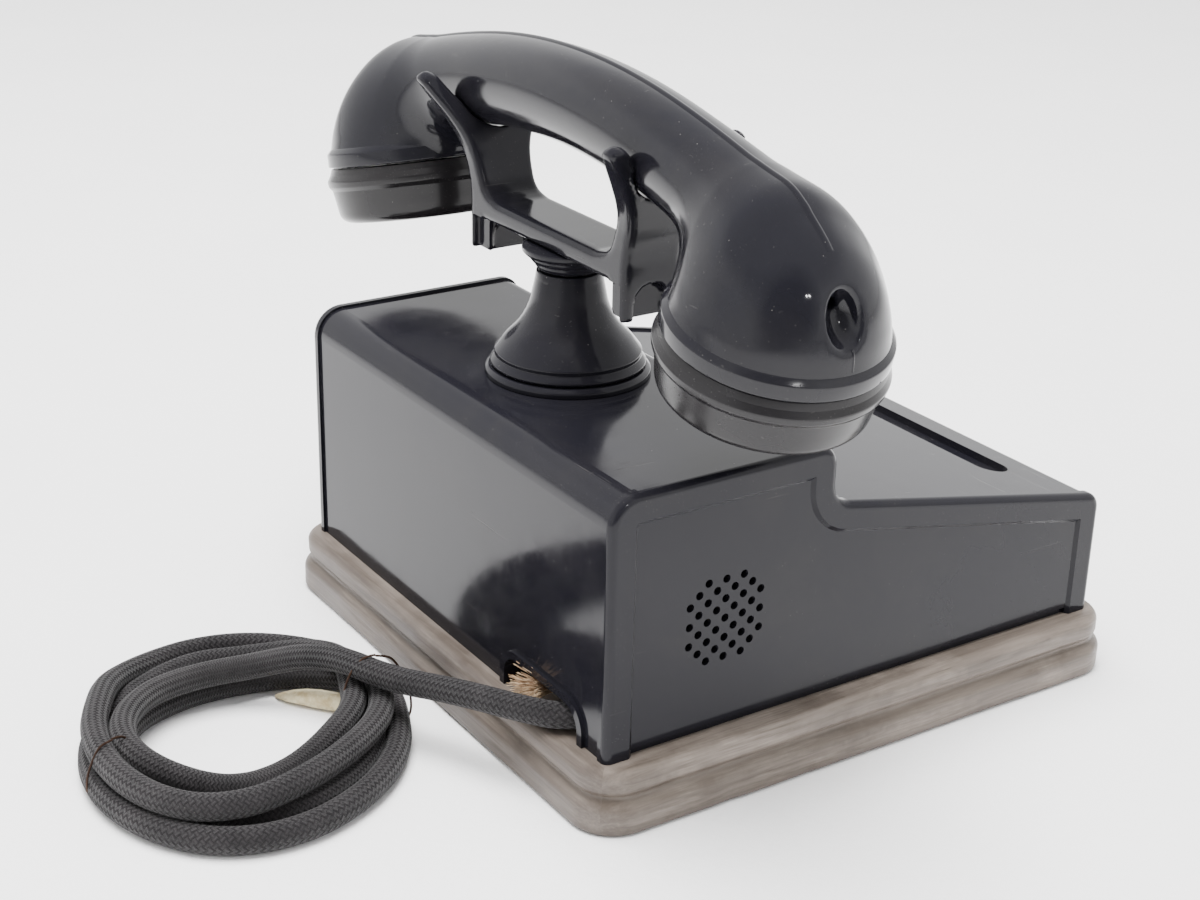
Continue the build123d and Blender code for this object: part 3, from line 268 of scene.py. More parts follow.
def braid(name):
    """Dark braided cotton over a round cord: strands cross on the diagonal, with painted shade in the dips
    between them and lighter yarn on their crowns.
    """
    s = Shader(name, Specular_IOR_Level=0.2, Sheen_Weight=0.10, Sheen_Roughness=0.5)
    uv = s.add("ShaderNodeTexCoord").outputs["UV"]
    parts = s.add("ShaderNodeSeparateXYZ", {"Vector": uv})
    along, round_it = parts.outputs["X"], parts.outputs["Y"]
    turns, carriers = 760.0, 12.0
    crowns, flips = [], []
    for lean in ("ADD", "SUBTRACT"):
        strand = s.math(lean, s.math("MULTIPLY", along, turns), s.math("MULTIPLY", round_it, carriers))
        crowns.append(s.math("PINGPONG", strand, 0.5))
        flips.append(s.math("GREATER_THAN", s.math("PINGPONG", s.math("ADD", strand, 0.5), 1.0), 0.5))
    over = s.math("ABSOLUTE", s.math("SUBTRACT", *flips))
    woven = s.add("ShaderNodeMix", data_type="FLOAT")
    for socket, value in ((0, over), (2, crowns[0]), (3, crowns[1])):
        s.tree.links.new(value, woven.inputs[socket])
    height = s.math("MULTIPLY", woven.outputs[0], 2.0)
    fuzz = s.noise(2600.0, 3.0, 0.7)
    fade = s.noise(60.0, 4.0, 0.6)
    # painted shade: the yarn is coloured by the braid's height, darker in the dips between strands and
    # lighter on the crowns
    painted_lit_crowns = s.span(height, 0.15, 0.9)
    dark = s.mix(s.span(fade, 0.35, 0.7), (0.0066, 0.0060, 0.0066), (0.0124, 0.0110, 0.0118))
    light = s.mix(s.span(fade, 0.35, 0.7), (0.0185, 0.0168, 0.0180), (0.037, 0.0335, 0.0350))
    yarn = s.mix(painted_lit_crowns, dark, light)
    lint = specks(s, 900.0, 0.10, 0.12)
    s.link(s.mix(s.math("MULTIPLY", lint, 0.4), yarn, (0.35, 0.32, 0.28)), "Base Color")
    s.link(s.span(fuzz, 0.2, 0.8, 0.72, 0.95), "Roughness")
    s.link(s.bump(s.math("ADD", height, s.math("MULTIPLY", fuzz, 0.9)), 0.0005, 0.9), "Normal")
    return s.material


def threads(name, tone, dark):
    """Frayed or wrapped cotton with lengthwise fibres."""
    s = Shader(name, Specular_IOR_Level=0.2, Sheen_Weight=0.2)
    fibres = s.noise(1500.0, 4.0, 0.7, where=s.stretched((1.0, 1.0, 0.4)))
    patch = s.noise(260.0, 4.0, 0.6)
    s.link(s.mix(s.span(patch, 0.42, 0.62), tone, dark), "Base Color")
    s.link(s.span(fibres, 0.2, 0.8, 0.65, 0.95), "Roughness")
    s.link(s.bump(fibres, 0.00015, 0.8), "Normal")
    return s.material


looks = {
    "wood": wood("plinth_wood"),
    "screw_steel": plated("screw_steel", (0.34, 0.33, 0.31), 0.35),
    "chassis_steel": sheet_metal("chassis_steel", (0.30, 0.31, 0.30)),
    "bakelite": bakelite("case_bakelite", 0.02, tone=(0.0085, 0.0082, 0.0112), gloss=0.15),
    "handset_bakelite": bakelite("handset_bakelite", 0.0, 1.2, wave=0.00003),
    "cap_bakelite": bakelite("cap_bakelite", 0.10, 1.9, (0.0100, 0.0092, 0.0098), 0.00003),
    "plated_steel": plated("plated_steel"),
    "brass": plated("brass", (0.56, 0.40, 0.17), 0.30),
    "spring_steel": plated("spring_steel", (0.36, 0.36, 0.37), 0.30),
    "fibre": fibre_board("fibre", (0.30, 0.115, 0.07)),
    "capsule_alloy": plated("capsule_alloy", (0.62, 0.62, 0.60), 0.34),
    "contact_silver": plated("contact_silver", (0.66, 0.63, 0.55), 0.25),
    "magnet_steel": sheet_metal("magnet_steel", (0.11, 0.12, 0.15), 0.40),
    "cast_poles": sheet_metal("cast_poles", (0.20, 0.20, 0.20), 0.50),
    "winding_cotton": fibre_board("winding_cotton", (0.06, 0.17, 0.08)),
    "gong_metal": plated("gong_metal", (0.66, 0.50, 0.24), 0.20),
    "capacitor_can": sheet_metal("capacitor_can", (0.42, 0.43, 0.42), 0.35),
    "braid": braid("braid"),
    "torn_cotton": threads("torn_cotton", (0.46, 0.33, 0.17), (0.22, 0.13, 0.06)),
}
slot_of = {part["node"]: part["material_slot"] for part in frame["record"]["subparts"]}
for name, carried in nodes.items():
    carried.data.materials.clear()
    carried.data.materials.append(looks[slot_of[name]])


# ------------------------------------------------------------------ helpers for pieces
def link_object(name, data, look=None, body="base"):
    made = bpy.data.objects.new(name, data)
    bpy.context.scene.collection.objects.link(made)
    if look is not None:
        data.materials.append(look)
    if body is not None:
        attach(made, body)
    return made


def mesh_object(name, points, faces, look, body):
    data = bpy.data.meshes.new(name)
    data.from_pydata([tuple(p) for p in points], [], [tuple(int(k) for k in f) for f in faces])
    data.validate()
    made = link_object(name, data, look, body)
    data.polygons.foreach_set("use_smooth", [True] * len(data.polygons))
    return made


def closed_bands(rows, count):
    """Faces of a closed skin: rings of count points joined row to row, with a face on each end."""
    faces = []
    for row in range(rows - 1):
        for k in range(count):
            j = (k + 1) % count
            faces.append((row * count + k, row * count + j, row * count + count + j, row * count + count + k))
    faces.append(tuple(range(count))[::-1])
    faces.append(tuple((rows - 1) * count + k for k in range(count)))
    return faces


def rounded(points, radii, steps=5):
    """A 2D outline with its inner corners rounded; points and radii in millimetres."""
    out = [np.array(points[0], float)]
    for before, corner, after, radius in zip(points, points[1:], points[2:], radii):
        b, c, a = (np.array(p, float) for p in (before, corner, after))
        if radius <= 0:
            out.append(c)
            continue
        to_b, to_a = (b - c) / np.linalg.norm(b - c), (a - c) / np.linalg.norm(a - c)
        half = math.acos(max(-1.0, min(1.0, float(to_b @ to_a)))) / 2
        cut = min(radius / math.tan(half), 0.49 * np.linalg.norm(b - c), 0.49 * np.linalg.norm(a - c))
        real = cut * math.tan(half)
        middle = c + (to_b + to_a) / np.linalg.norm(to_b + to_a) * real / math.sin(half)
        start, end = c + to_b * cut - middle, c + to_a * cut - middle
        a0 = math.atan2(start[1], start[0])
        turn = (math.atan2(end[1], end[0]) - a0 + math.pi) % (2 * math.pi) - math.pi
        for k in range(steps + 1):
            t = a0 + turn * k / steps
            out.append(middle + real * np.array((math.cos(t), math.sin(t))))
    out.append(np.array(points[-1], float))
    return out


def lathe(name, profile, look, body, origin, axis=(0, 0, 1)):
    """A turned piece: profile points are (radius, height) in millimetres along axis from origin."""
    count, sharp_from = 128, math.radians(38)
    axis = Vector(axis).normalized()
    side = axis.orthogonal().normalized()
    other = axis.cross(side)
    origin = Vector(origin)
    points, faces = [], []
    rings = []
    for radius, height in profile:
        if radius < 1e-6:
            rings.append([len(points)])
            points.append((origin + axis * height) * MM)
            continue
        rings.append(list(range(len(points), len(points) + count)))
        for k in range(count):
            t = 2 * math.pi * k / count
            spoke = side * (radius * math.cos(t)) + other * (radius * math.sin(t))
            points.append((origin + axis * height + spoke) * MM)
    for low, high in zip(rings, rings[1:]):
        if len(low) == len(high) == 1:
            continue
        for k in range(count):
            j = (k + 1) % count
            if len(low) == 1:
                faces.append((low[0], high[j], high[k]))
            elif len(high) == 1:
                faces.append((low[k], low[j], high[0]))
            else:
                faces.append((low[k], low[j], high[j], high[k]))
    made = mesh_object(name, points, faces, look, body)
    made.data.set_sharp_from_angle(angle=sharp_from)
    return made


def polygon_distance(x, y, outline):
    """Signed distance from points to a closed outline, negative inside."""
    best = np.full(x.shape, 1e18)
    sign = np.ones(x.shape)
    corners = [np.asarray(p, float) for p in outline]
    for a, b in zip(corners, corners[-1:] + corners[:-1]):
        ex, ey = b - a
        wx, wy = x - a[0], y - a[1]
        t = np.clip((wx * ex + wy * ey) / (ex * ex + ey * ey), 0.0, 1.0)
        dx, dy = wx - ex * t, wy - ey * t
        best = np.minimum(best, dx * dx + dy * dy)
        above, below = y >= a[1], y < b[1]
        cross = ex * wy > ey * wx
        flip = (above & below & cross) | (~above & ~below & ~cross)
        sign = np.where(flip, -sign, sign)
    return sign * np.sqrt(best)


def blend_min(a, b, k):
    h = np.maximum(k - np.abs(a - b), 0.0) / k
    return np.minimum(a, b) - h * h * k / 4


def blend_max(a, b, k):
    return -blend_min(-a, -b, k)


def surface(name, field, low, high, step, look, body, relax=3):
    """The zero surface of a distance field in millimetres, as quads pulled exactly onto it."""
    counts = [int(math.ceil((h - l) / step)) + 1 for l, h in zip(low, high)]
    axes = [l + step * np.arange(n) for l, n in zip(low, counts)]
    values = np.empty(counts)
    for k in range(counts[0]):
        gy, gz = np.meshgrid(axes[1], axes[2], indexing="ij")
        values[k] = field(np.full(gy.shape, axes[0][k]), gy, gz)
    inside = values < 0
    cells = np.zeros([n - 1 for n in counts], dtype=int)
    corner_offsets = [(i, j, k) for i in (0, 1) for j in (0, 1) for k in (0, 1)]
    for i, j, k in corner_offsets:
        cells += inside[i : counts[0] - 1 + i, j : counts[1] - 1 + j, k : counts[2] - 1 + k]
    mixed = (cells > 0) & (cells < 8)
    index = np.full(cells.shape, -1)
    where = np.argwhere(mixed)
    index[mixed] = np.arange(len(where))
    total, hits = np.zeros((len(where), 3)), np.zeros(len(where))
    for a in corner_offsets:
        for d in range(3):
            if a[d]:
                continue
            b = list(a)
            b[d] = 1
            va = values[tuple((where + a).T)]
            vb = values[tuple((where + b).T)]
            crossing = (va < 0) != (vb < 0)
            t = np.where(crossing, va / np.where(crossing, va - vb, 1.0), 0.0)
            spot = np.array(a, float)[None, :] + t[:, None] * (np.array(b) - np.array(a))[None, :]
            total += spot * crossing[:, None]
            hits += crossing
    points = np.array(low)[None, :] + step * (where + total / hits[:, None])
    faces = []
    for d in range(3):
        u, v = (d + 1) % 3, (d + 2) % 3
        lower = [slice(0, n) for n in counts]
        upper = [slice(0, n) for n in counts]
        lower[d], upper[d] = slice(0, counts[d] - 1), slice(1, counts[d])
        a, b = inside[tuple(lower)], inside[tuple(upper)]
        edges = np.argwhere(a != b)
        for across in (u, v):
            edges = edges[(edges[:, across] > 0) & (edges[:, across] < counts[across] - 1)]
        outward = a[tuple(edges.T)]
        quad = []
        for du, dv in ((-1, -1), (0, -1), (0, 0), (-1, 0)):
            moved = edges.copy()
            moved[:, u] += du
            moved[:, v] += dv
            quad.append(index[tuple(moved.T)])
        quad = np.stack(quad, axis=1)
        quad[~outward] = quad[~outward][:, ::-1]
        faces.append(quad)
    faces = np.concatenate(faces)

    def pull(p, times):
        reach = 0.02
        for _ in range(times):
            f = field(p[:, 0], p[:, 1], p[:, 2])
            shifts = reach * np.eye(3)
            rises = [field(*(p + shift).T) - field(*(p - shift).T) for shift in shifts]
            slope = np.stack(rises, axis=1) / (2 * reach)
            size = np.maximum((slope**2).sum(axis=1), 0.05)
            move = -f / size
            p = p + np.clip(move, -step, step)[:, None] * slope
        return p

    rim = np.concatenate([faces[:, [k, (k + 1) % 4]] for k in range(4)])
    for _ in range(relax):
        total = np.zeros_like(points)
        near = np.zeros(len(points))
        np.add.at(total, rim[:, 0], points[rim[:, 1]])
        np.add.at(near, rim[:, 0], 1)
        points = 0.4 * points + 0.6 * total / np.maximum(near, 1)[:, None]
        points = pull(points, 2)
    points = pull(points, 3)
    return mesh_object(name, points * MM, faces, look, body)


def spline_curve(name, points, depth, look, body, resolution, bevel):
    """A round cord or wire on one open NURBS spline; points in millimetres."""
    data = bpy.data.curves.new(name, "CURVE")
    data.dimensions = "3D"
    data.resolution_u = resolution
    data.bevel_depth = depth * MM
    data.bevel_resolution = bevel
    data.use_fill_caps = True
    line = data.splines.new("NURBS")
    line.points.add(len(points) - 1)
    for target, p in zip(line.points, points):
        target.co = (p[0] * MM, p[1] * MM, p[2] * MM, 1.0)
    line.order_u = 3
    line.use_endpoint_u = True
    line.use_smooth = True
    return link_object(name, data, look, body)


# ------------------------------------------------------------------ line cord
cord_radius = 4.0
cord_route = [
    (-75.5, 79.5, 26.2),
    (-69.0, 92.3, 24.7),
    (-57.8, 100.6, 24.6),
    (-44.0, 107.0, 23.5),
    (-30.5, 112.0, 21.2),
    (-20.0, 118.5, 20.2),
]
coil_centre = (3.0, 160.0)
# how the coil lies, turn after turn: angle round its centre in degrees, distance from it, height;
# read off the photograph along each turn, then thinned from 93 rows to these 48 by a scratch program
coil_keys = [
    (249, 39.2, 20.3), (266, 32.5, 20.0), (286, 28.1, 18.3), (329, 24.1, 13.0), (374, 26.4, 11.5),
    (414, 32.3, 11.9), (471, 37.3, 10.8), (488, 34.6, 7.4), (506, 32.0, 4.6), (546, 28.0, 5.3),
    (586, 30.3, 10.8), (606, 32.6, 11.1), (622, 33.6, 11.4), (644, 39.2, 12.5), (667, 43.6, 9.4),
    (681, 43.8, 6.8), (696, 44.8, 4.4), (712, 46.4, 4.1), (744, 43.0, 4.1), (847, 53.6, 4.1),
    (861, 56.8, 4.1), (876, 58.0, 4.1), (924, 50.0, 4.1), (984, 46.6, 4.1), (998, 49.6, 4.1),
    (1026, 51.8, 4.1), (1084, 54.4, 4.3), (1098, 51.4, 5.6), (1113, 48.3, 8.9), (1128, 44.2, 11.4),
    (1160, 43.8, 12.1), (1204, 49.8, 11.5), (1218, 52.4, 11.2), (1231, 52.2, 11.3), (1258, 44.4, 11.9),
    (1274, 41.0, 11.8), (1326, 41.0, 11.2), (1340, 41.5, 10.8), (1362, 42.0, 5.8), (1385, 37.4, 4.1),
    (1399, 33.4, 4.1), (1464, 30.4, 4.1), (1496, 35.0, 4.1), (1532, 39.0, 4.1), (1566, 41.6, 4.1),
    (1606, 47.2, 4.1), (1635, 43.0, 4.1), (1706, 36.2, 4.1),
]


def coil_spot(angle, distance, height=0.0):
    t = math.radians(angle)
    return Vector((coil_centre[0] + distance * math.cos(t), coil_centre[1] + distance * math.sin(t), height))


def between_keys(keys, column, places):
    """Smooth values of one column of keys at the given places of column 0."""
    at = np.array([key[0] for key in keys], float)
    value = np.array([key[column] for key in keys], float)
    slope = np.gradient(value, at)
    k = np.clip(np.searchsorted(at, places, side="right") - 1, 0, len(at) - 2)
    span = at[k + 1] - at[k]
    t = (places - at[k]) / span
    start = (2 * t**3 - 3 * t**2 + 1) * value[k] + (t**3 - 2 * t**2 + t) * span * slope[k]
    return start + (3 * t**2 - 2 * t**3) * value[k + 1] + (t**3 - t**2) * span * slope[k + 1]


first_angle, last_angle = coil_keys[0][0], coil_keys[-1][0]
angle_step = 15
turn_angles = np.linspace(first_angle, last_angle, round((last_angle - first_angle) / angle_step) + 1)
distances = between_keys(coil_keys, 1, turn_angles)
heights = np.maximum(between_keys(coil_keys, 2, turn_angles), cord_radius + 0.05)
for angle, distance, height in zip(turn_angles, distances, heights):
    cord_route.append(tuple(coil_spot(angle, distance, height)))
cord = spline_curve(
    "line_cord_braided", cord_route, cord_radius, looks["braid"], "base", resolution=10, bevel=6
)
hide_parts("line_cord", "line_cord_coil")

# the far end: the braid is cut back and the cores are bound in pale tape, pressed flat at the tip
end = Vector(cord_route[-1])
tip = Vector((24.0, 141.5, 3.2))
run = (tip - end).normalized()
flat_side = run.cross(Vector((0, 0, 1))).normalized()
sleeve_points = []
sleeve_count = 28
sleeve_rows = [
    (-3.0, 3.6, 3.5), (0.5, 3.7, 3.5), (2.0, 3.2, 3.0), (6.5, 3.3, 3.0), (7.2, 3.1, 2.8), (14.0, 3.5, 2.6),
    (19.0, 3.6, 2.1), (23.0, 2.9, 1.5), (26.5, 1.6, 0.9), (28.5, 0.5, 0.4),
]
for reach_out, wide, high in sleeve_rows:
    centre = end + run * reach_out
    centre.z = high + 0.35
    for k in range(sleeve_count):
        t = 2 * math.pi * k / sleeve_count
        ruffle = 1.0 + 0.05 * math.sin(3 * t + reach_out) + 0.03 * math.sin(7 * t - 0.7 * reach_out)
        rise = Vector((0, 0, high * ruffle * math.sin(t)))
        spot = centre + flat_side * (wide * ruffle * math.cos(t)) + rise
        spot.z = max(spot.z, 0.25)
        sleeve_points.append(spot * MM)
looks["tape"] = threads("pale_tape", (0.62, 0.55, 0.36), (0.42, 0.33, 0.18))
sleeve_faces = closed_bands(len(sleeve_rows), sleeve_count)
sleeve = mesh_object("cord_end_tape", sleeve_points, sleeve_faces, looks["tape"], "base")

# two thin wire ties round the bundle
looks["rust_wire"] = sheet_metal("rust_wire", (0.085, 0.050, 0.036), 0.6)


def wire_tie(name, middle, out_angle, half_width, height):
    """A loop of thin wire round the strands, narrower at its top; out_angle is the direction across them."""
    out = Vector((math.cos(math.radians(out_angle)), math.sin(math.radians(out_angle)), 0)).normalized()
    count, squareness, floor_gap, wire_radius = 16, 0.62, 0.45, 0.36
    loop = []
    for k in range(count):
        t = 2 * math.pi * k / count
        c, s = math.cos(t), math.sin(t)
        rise = height / 2 * (1 + math.copysign(abs(s) ** squareness, s))
        across = half_width * math.copysign(abs(c) ** squareness, c) * (1 - 0.5 * (rise / height) ** 2)
        loop.append(middle + out * across + Vector((0, 0, rise + floor_gap)))
    top = count // 4
    loop = loop[top:] + loop[: top + 1]
    loop = [p + Vector((0, 0, 0.4 * math.sin(2.3 * k))) for k, p in enumerate(loop)]
    return spline_curve(name, loop, wire_radius, looks["rust_wire"], "base", resolution=6, bevel=3)


tie_left = wire_tie("wire_tie_left", coil_spot(97, 42.4), 104, 10.2, 16.9)
tie_right = wire_tie("wire_tie_right", coil_spot(252, 39.6), 247, 11.4, 24.8)

# ------------------------------------------------------------------ handset shell
yaw = math.radians(-1.4)
handset_y = 48.5
head_x, seam_z, tilt = 101.0, 142.3, math.radians(14.5)
dome_outline = rounded(
    [
        (30.2, 1.0), (29.6, 5.0), (28.0, 11.0), (25.2, 18.0),
        (20.4, 25.4), (13.4, 31.8), (6.6, 35.1), (0, 36.0),
    ],
    [6, 30, 40, 40, 30, 20],
)
dome_outline = [(0.0, -14.0), (30.2, -14.0)] + [tuple(p) for p in dome_outline]
dome_full = dome_outline + [(-x, z) for x, z in dome_outline[::-1][1:-1]]
handle_bend = 279.1
handle_top = 183.8
handle_radius = 14.0


def to_handset(x, y, z):
    """Row frame to the handset's own axes, length and width turned by its yaw."""
    dy = y - handset_y
    return x * math.cos(yaw) + dy * math.sin(yaw), -x * math.sin(yaw) + dy * math.cos(yaw), z


def from_handset(x, y, z):
    c, s = math.cos(yaw), math.sin(yaw)
    return Vector((x * c - y * s, handset_y + x * s + y * c, z))


def head_frame(side, x, y, z):
    """Distance from a head's axis and height above its seam."""
    dx, dz = x - side * head_x, z - seam_z
    ax, az = side * math.sin(tilt), math.cos(tilt)
    height = dx * ax + dz * az
    across = dx * az - dz * ax
    return np.sqrt(across**2 + y**2), height


def handle_bow(u, w):
    """Height above the handle's bent centreline."""
    return np.sqrt(u**2 + (w - handle_top + handle_bend) ** 2) - handle_bend


def shell_field(x, y, z):
    """The moulded shell: two domes and the bent handle, hollow heads, and the dished cord hole."""
    u, v, w = to_handset(x, y, z)
    side = np.where(u >= 0, 1.0, -1.0)
    radius, height = head_frame(side, u, v, w)
    dome = polygon_distance(radius, height, dome_full)
    bow = handle_bow(u, w)
    along = np.abs(u)
    swelling = np.clip((along - 50) / 40, 0, 1) ** 2
    wide = handle_radius + 2.4 * swelling
    deep = handle_radius + 1.2 * swelling
    handle = (np.sqrt((v / wide) ** 2 + (bow / deep) ** 2) - 1.0) * np.minimum(wide, deep)
    handle = blend_max(handle, along - 104.0, 6.0)
    solid = blend_min(dome, handle, 15.0)
    solid = blend_max(solid, -height, 0.5)
    chamber = np.maximum(radius - 24.5, height - 8.0)
    neck = np.maximum(radius - 10.0, height - 27.0)
    solid = np.maximum(solid, -np.minimum(chamber, neck))
    far_away = 1e3
    hole_u = np.where(side < 0, u, far_away)
    bowl_across, bowl_height, bowl_depth, bowl_z = 5.6, 7.6, 8.2, 155.2
    rise = w - bowl_z - (hole_u + 129.0) * 0.25
    bowl = np.sqrt((v / bowl_across) ** 2 + (rise / bowl_height) ** 2 + ((hole_u + 131.0) / bowl_depth) ** 2)
    bowl = (bowl - 1.0) * 6.0
    tunnel = np.maximum(np.sqrt(v**2 + (w - 157.6) ** 2) - 1.6, hole_u + 108.0)
    return blend_max(solid, -np.minimum(bowl, tunnel), 1.6)


shell_box = ((-136, 10, 132), (136, 87, 201))
shell = surface("handset_shell_moulded", shell_field, *shell_box, 1.15, looks["handset_bakelite"], "handset")
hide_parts("handset_shell")

# the flange band above each seam, and the caps, turned as separate crisp pieces
for side, label in ((1, "ear"), (-1, "mouth")):
    origin = from_handset(side * head_x, 0, seam_z)
    sideways = side * math.sin(tilt)
    lean = Vector((sideways * math.cos(yaw), sideways * math.sin(yaw), math.cos(tilt)))
    band = rounded(
        [(24.6, 0.0), (30.9, 0.0), (30.9, 4.4), (29.2, 6.3), (27.0, 6.6), (24.6, 6.6), (24.6, 0.0)],
        [0.5, 0.9, 1.6, 0.3, 0.3],
    )
    ring = lathe(f"{label}_flange", band, looks["handset_bakelite"], "handset", origin, lean)
    bottom = -18.8
    profile = rounded(
        [
            (24.0, -0.4), (30.0, -0.4), (30.8, -2.6), (31.9, -4.6), (31.7, -6.4), (30.6, -7.8), (29.9, -12.0),
            (28.8, bottom), (21.5, bottom), (19.0, bottom + 1.0), (15.0, bottom + 2.8), (0.0, bottom + 3.4),
        ],
        [0.6, 1.0, 1.2, 1.2, 0.9, 8.0, 4.6, 2.5, 2.5, 4.0],
        7,
    )
    inside = [(0.0, bottom + 5.6), (22.0, bottom + 5.6), (24.0, bottom + 7.6), (24.0, -0.4)]
    inner = rounded(inside, [1.5, 0.5])
    cap = lathe(f"{label}_cap_turned", profile + inner, looks["cap_bakelite"], "handset", origin, lean)
    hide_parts(f"{label}_cap")

# the mould ridge along the top of the handle, found by rays that fan out from a point below it
ridge_points, ridge_faces = [], []
fan_z = 60.0
ridge_section = [(-1.5, -0.5), (-1.05, 0.12), (-0.5, 0.5), (0.0, 0.58), (0.5, 0.5), (1.05, 0.12), (1.5, -0.5)]
ridge_angles = np.linspace(-47.6, 47.6, 121)
ridge_path = []
for angle in ridge_angles:
    t = math.radians(angle)
    reach_out = np.arange(185.0, 100.0, -0.5)
    u, w = reach_out * math.sin(t), fan_z + reach_out * math.cos(t)
    x, y = u * math.cos(yaw), handset_y + u * math.sin(yaw)
    hit = int(np.argmax(shell_field(x, y, w) < 0))
    low, high = reach_out[hit], reach_out[hit - 1]
    for _ in range(18):
        middle = (low + high) / 2
        spot = from_handset(middle * math.sin(t), 0.0, fan_z + middle * math.cos(t))
        value = shell_field(*(np.array([c]) for c in spot))[0]
        low, high = (middle, high) if value < 0 else (low, middle)
    ridge_path.append((low * math.sin(t), fan_z + low * math.cos(t)))
for k, (u, w) in enumerate(ridge_path):
    before, after = ridge_path[max(k - 1, 0)], ridge_path[min(k + 1, len(ridge_path) - 1)]
    along = np.array(after) - np.array(before)
    along /= np.linalg.norm(along)
    normal = np.array((-along[1], along[0]))
    fade = min(1.0, (k + 0.3) / 4, (len(ridge_path) - k - 0.7) / 4)
    for across, rise in ridge_section:
        lift = rise * fade if rise > 0 else rise
        ridge_points.append(from_handset(u + normal[0] * lift, across, w + normal[1] * lift) * MM)
width = len(ridge_section)
for row in range(len(ridge_path) - 1):
    for k in range(width - 1):
        a = row * width + k
        ridge_faces.append((a, a + width, a + width + 1, a + 1))
# the parting line goes on below the cord hole, a little to one side
seam_across = -1.7
seam_rows = []
for height in np.linspace(147.4, 141.6, 12):
    u = np.arange(-140.0, -110.0, 0.02)
    x = u * math.cos(yaw) - seam_across * math.sin(yaw)
    y = handset_y + u * math.sin(yaw) + seam_across * math.cos(yaw)
    seam_rows.append((u[int(np.argmax(shell_field(x, y, np.full(u.shape, height)) < 0))], height))
seam_section = [(-0.9, -0.4), (-0.25, 0.16), (0.0, 0.24), (0.25, 0.16), (0.9, -0.4)]
first_seam_point, width = len(ridge_points), len(seam_section)
for u, w in seam_rows:
    for across, rise in seam_section:
        ridge_points.append(from_handset(u - rise, seam_across + across, w) * MM)
for row in range(len(seam_rows) - 1):
    for k in range(width - 1):
        a = first_seam_point + row * width + k
        ridge_faces.append((a, a + width, a + width + 1, a + 1))
ridge = mesh_object("mould_ridge", ridge_points, ridge_faces, looks["handset_bakelite"], "handset")

# ------------------------------------------------------------------ cradle fork, collar and pedestal
pedestal_y = 50.0
fork_front = rounded(
    [
        (-6.0, 146.3), (27.0, 146.3), (34.6, 148.0), (37.6, 155.0), (39.6, 160.0), (41.2, 165.0),
        (43.0, 170.0), (46.0, 176.0), (49.4, 182.4), (52.4, 184.4), (55.3, 181.6), (53.2, 175.0),
        (51.1, 170.5), (49.6, 166.0), (47.9, 161.5), (46.4, 157.0), (44.2, 151.0), (43.5, 146.0),
        (43.5, 128.5), (34.5, 128.5), (34.5, 139.5), (-6.0, 139.5),
    ],
    [14, 14, 30, 30, 30, 30, 30, 2.2, 1.6, 2.2, 30, 30, 30, 30, 30, 30, 20, 0, 0, 0],
    4,
)
fork_side = rounded(
    [
        (-6.0, 168.6), (2.0, 168.6), (7.8, 171.2), (12.8, 176.8), (17.3, 182.8), (20.2, 184.5),
        (23.1, 181.4), (19.0, 175.2), (15.9, 170.5), (13.3, 166.0), (11.3, 161.5), (10.1, 156.5),
        (9.75, 150.0), (9.75, 128.5), (-6.0, 128.5),
    ],
    [6, 12, 20, 2.2, 1.6, 2.2, 30, 30, 30, 30, 30, 30, 0],
    4,
)


def fork_field(x, y, z):
    """Four horns on a bar with two legs; the legs have arched pockets and are set back under the bar."""
    x, y = np.abs(x), np.abs(y - pedestal_y)
    leg_middle, web_half, arch_z, arch_radius = 37.75, 2.5, 133.5, 6.0
    leg_half_depth, outer_plate, bar_bottom = 7.6, 41.0, 139.5
    solid = blend_max(polygon_distance(x, z, fork_front), polygon_distance(y, z, fork_side), 2.4)
    arch = np.sqrt(y**2 + np.maximum(z - arch_z, 0) ** 2) - arch_radius
    pockets = np.maximum(arch, web_half - np.abs(x - leg_middle))
    sides = np.maximum(np.maximum(leg_half_depth - y, x - outer_plate), z - bar_bottom)
    return np.maximum(solid, -np.minimum(pockets, sides))


def seated_fork_field(x, y, z):
    """The fork with its saddle cut to the handle's round, with a small gap."""
    u, v, w = to_handset(x, y, z)
    gap = 0.35
    return np.maximum(fork_field(x, y, z), handle_radius + gap - np.sqrt(v**2 + handle_bow(u, w) ** 2))


fork_box = ((-58, 26, 126), (58, 74, 186))
fork = surface("cradle_fork_moulded", seated_fork_field, *fork_box, 0.9, looks["bakelite"], "cradle", 1)
fork.data.set_sharp_from_angle(angle=math.radians(50))
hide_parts("cradle_fork")

collar_profile = rounded(
    [
        (4.2, 132.7), (9.8, 132.7), (10.5, 133.8), (10.6, 134.6), (11.4, 134.9), (12.2, 136.0),
        (12.3, 136.7), (13.3, 137.0), (14.4, 138.1), (14.4, 139.5), (4.2, 139.5), (4.2, 132.7),
    ],
    [0.3, 0.4, 0.15, 0.3, 0.4, 0.15, 0.3, 0.5, 0.3, 0, 0],
    3,
)
collar = lathe("plunger_collar_turned", collar_profile, looks["bakelite"], "cradle", (0, pedestal_y, 0))
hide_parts("plunger_collar")

pedestal_profile = rounded(
    [
        (4.4, 88.0), (8.0, 88.0), (8.0, 102.3), (22.8, 102.3), (24.2, 103.4), (23.0, 104.9),
        (22.4, 105.6), (22.6, 107.0), (19.4, 111.0), (15.8, 114.6), (13.5, 118.2), (11.9, 122.0),
        (11.1, 126.0), (10.4, 129.5), (10.0, 132.0), (7.0, 132.0), (7.0, 91.5), (4.4, 91.5), (4.4, 88.0),
    ],
    [0, 0, 0.6, 0.8, 0.5, 0.5, 0.9, 20, 20, 20, 20, 20, 20, 0.5, 0.3, 0, 0, 0],
)
pedestal = lathe("pedestal_turned", pedestal_profile, looks["bakelite"], "base", (0, pedestal_y, 0))
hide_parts("pedestal")

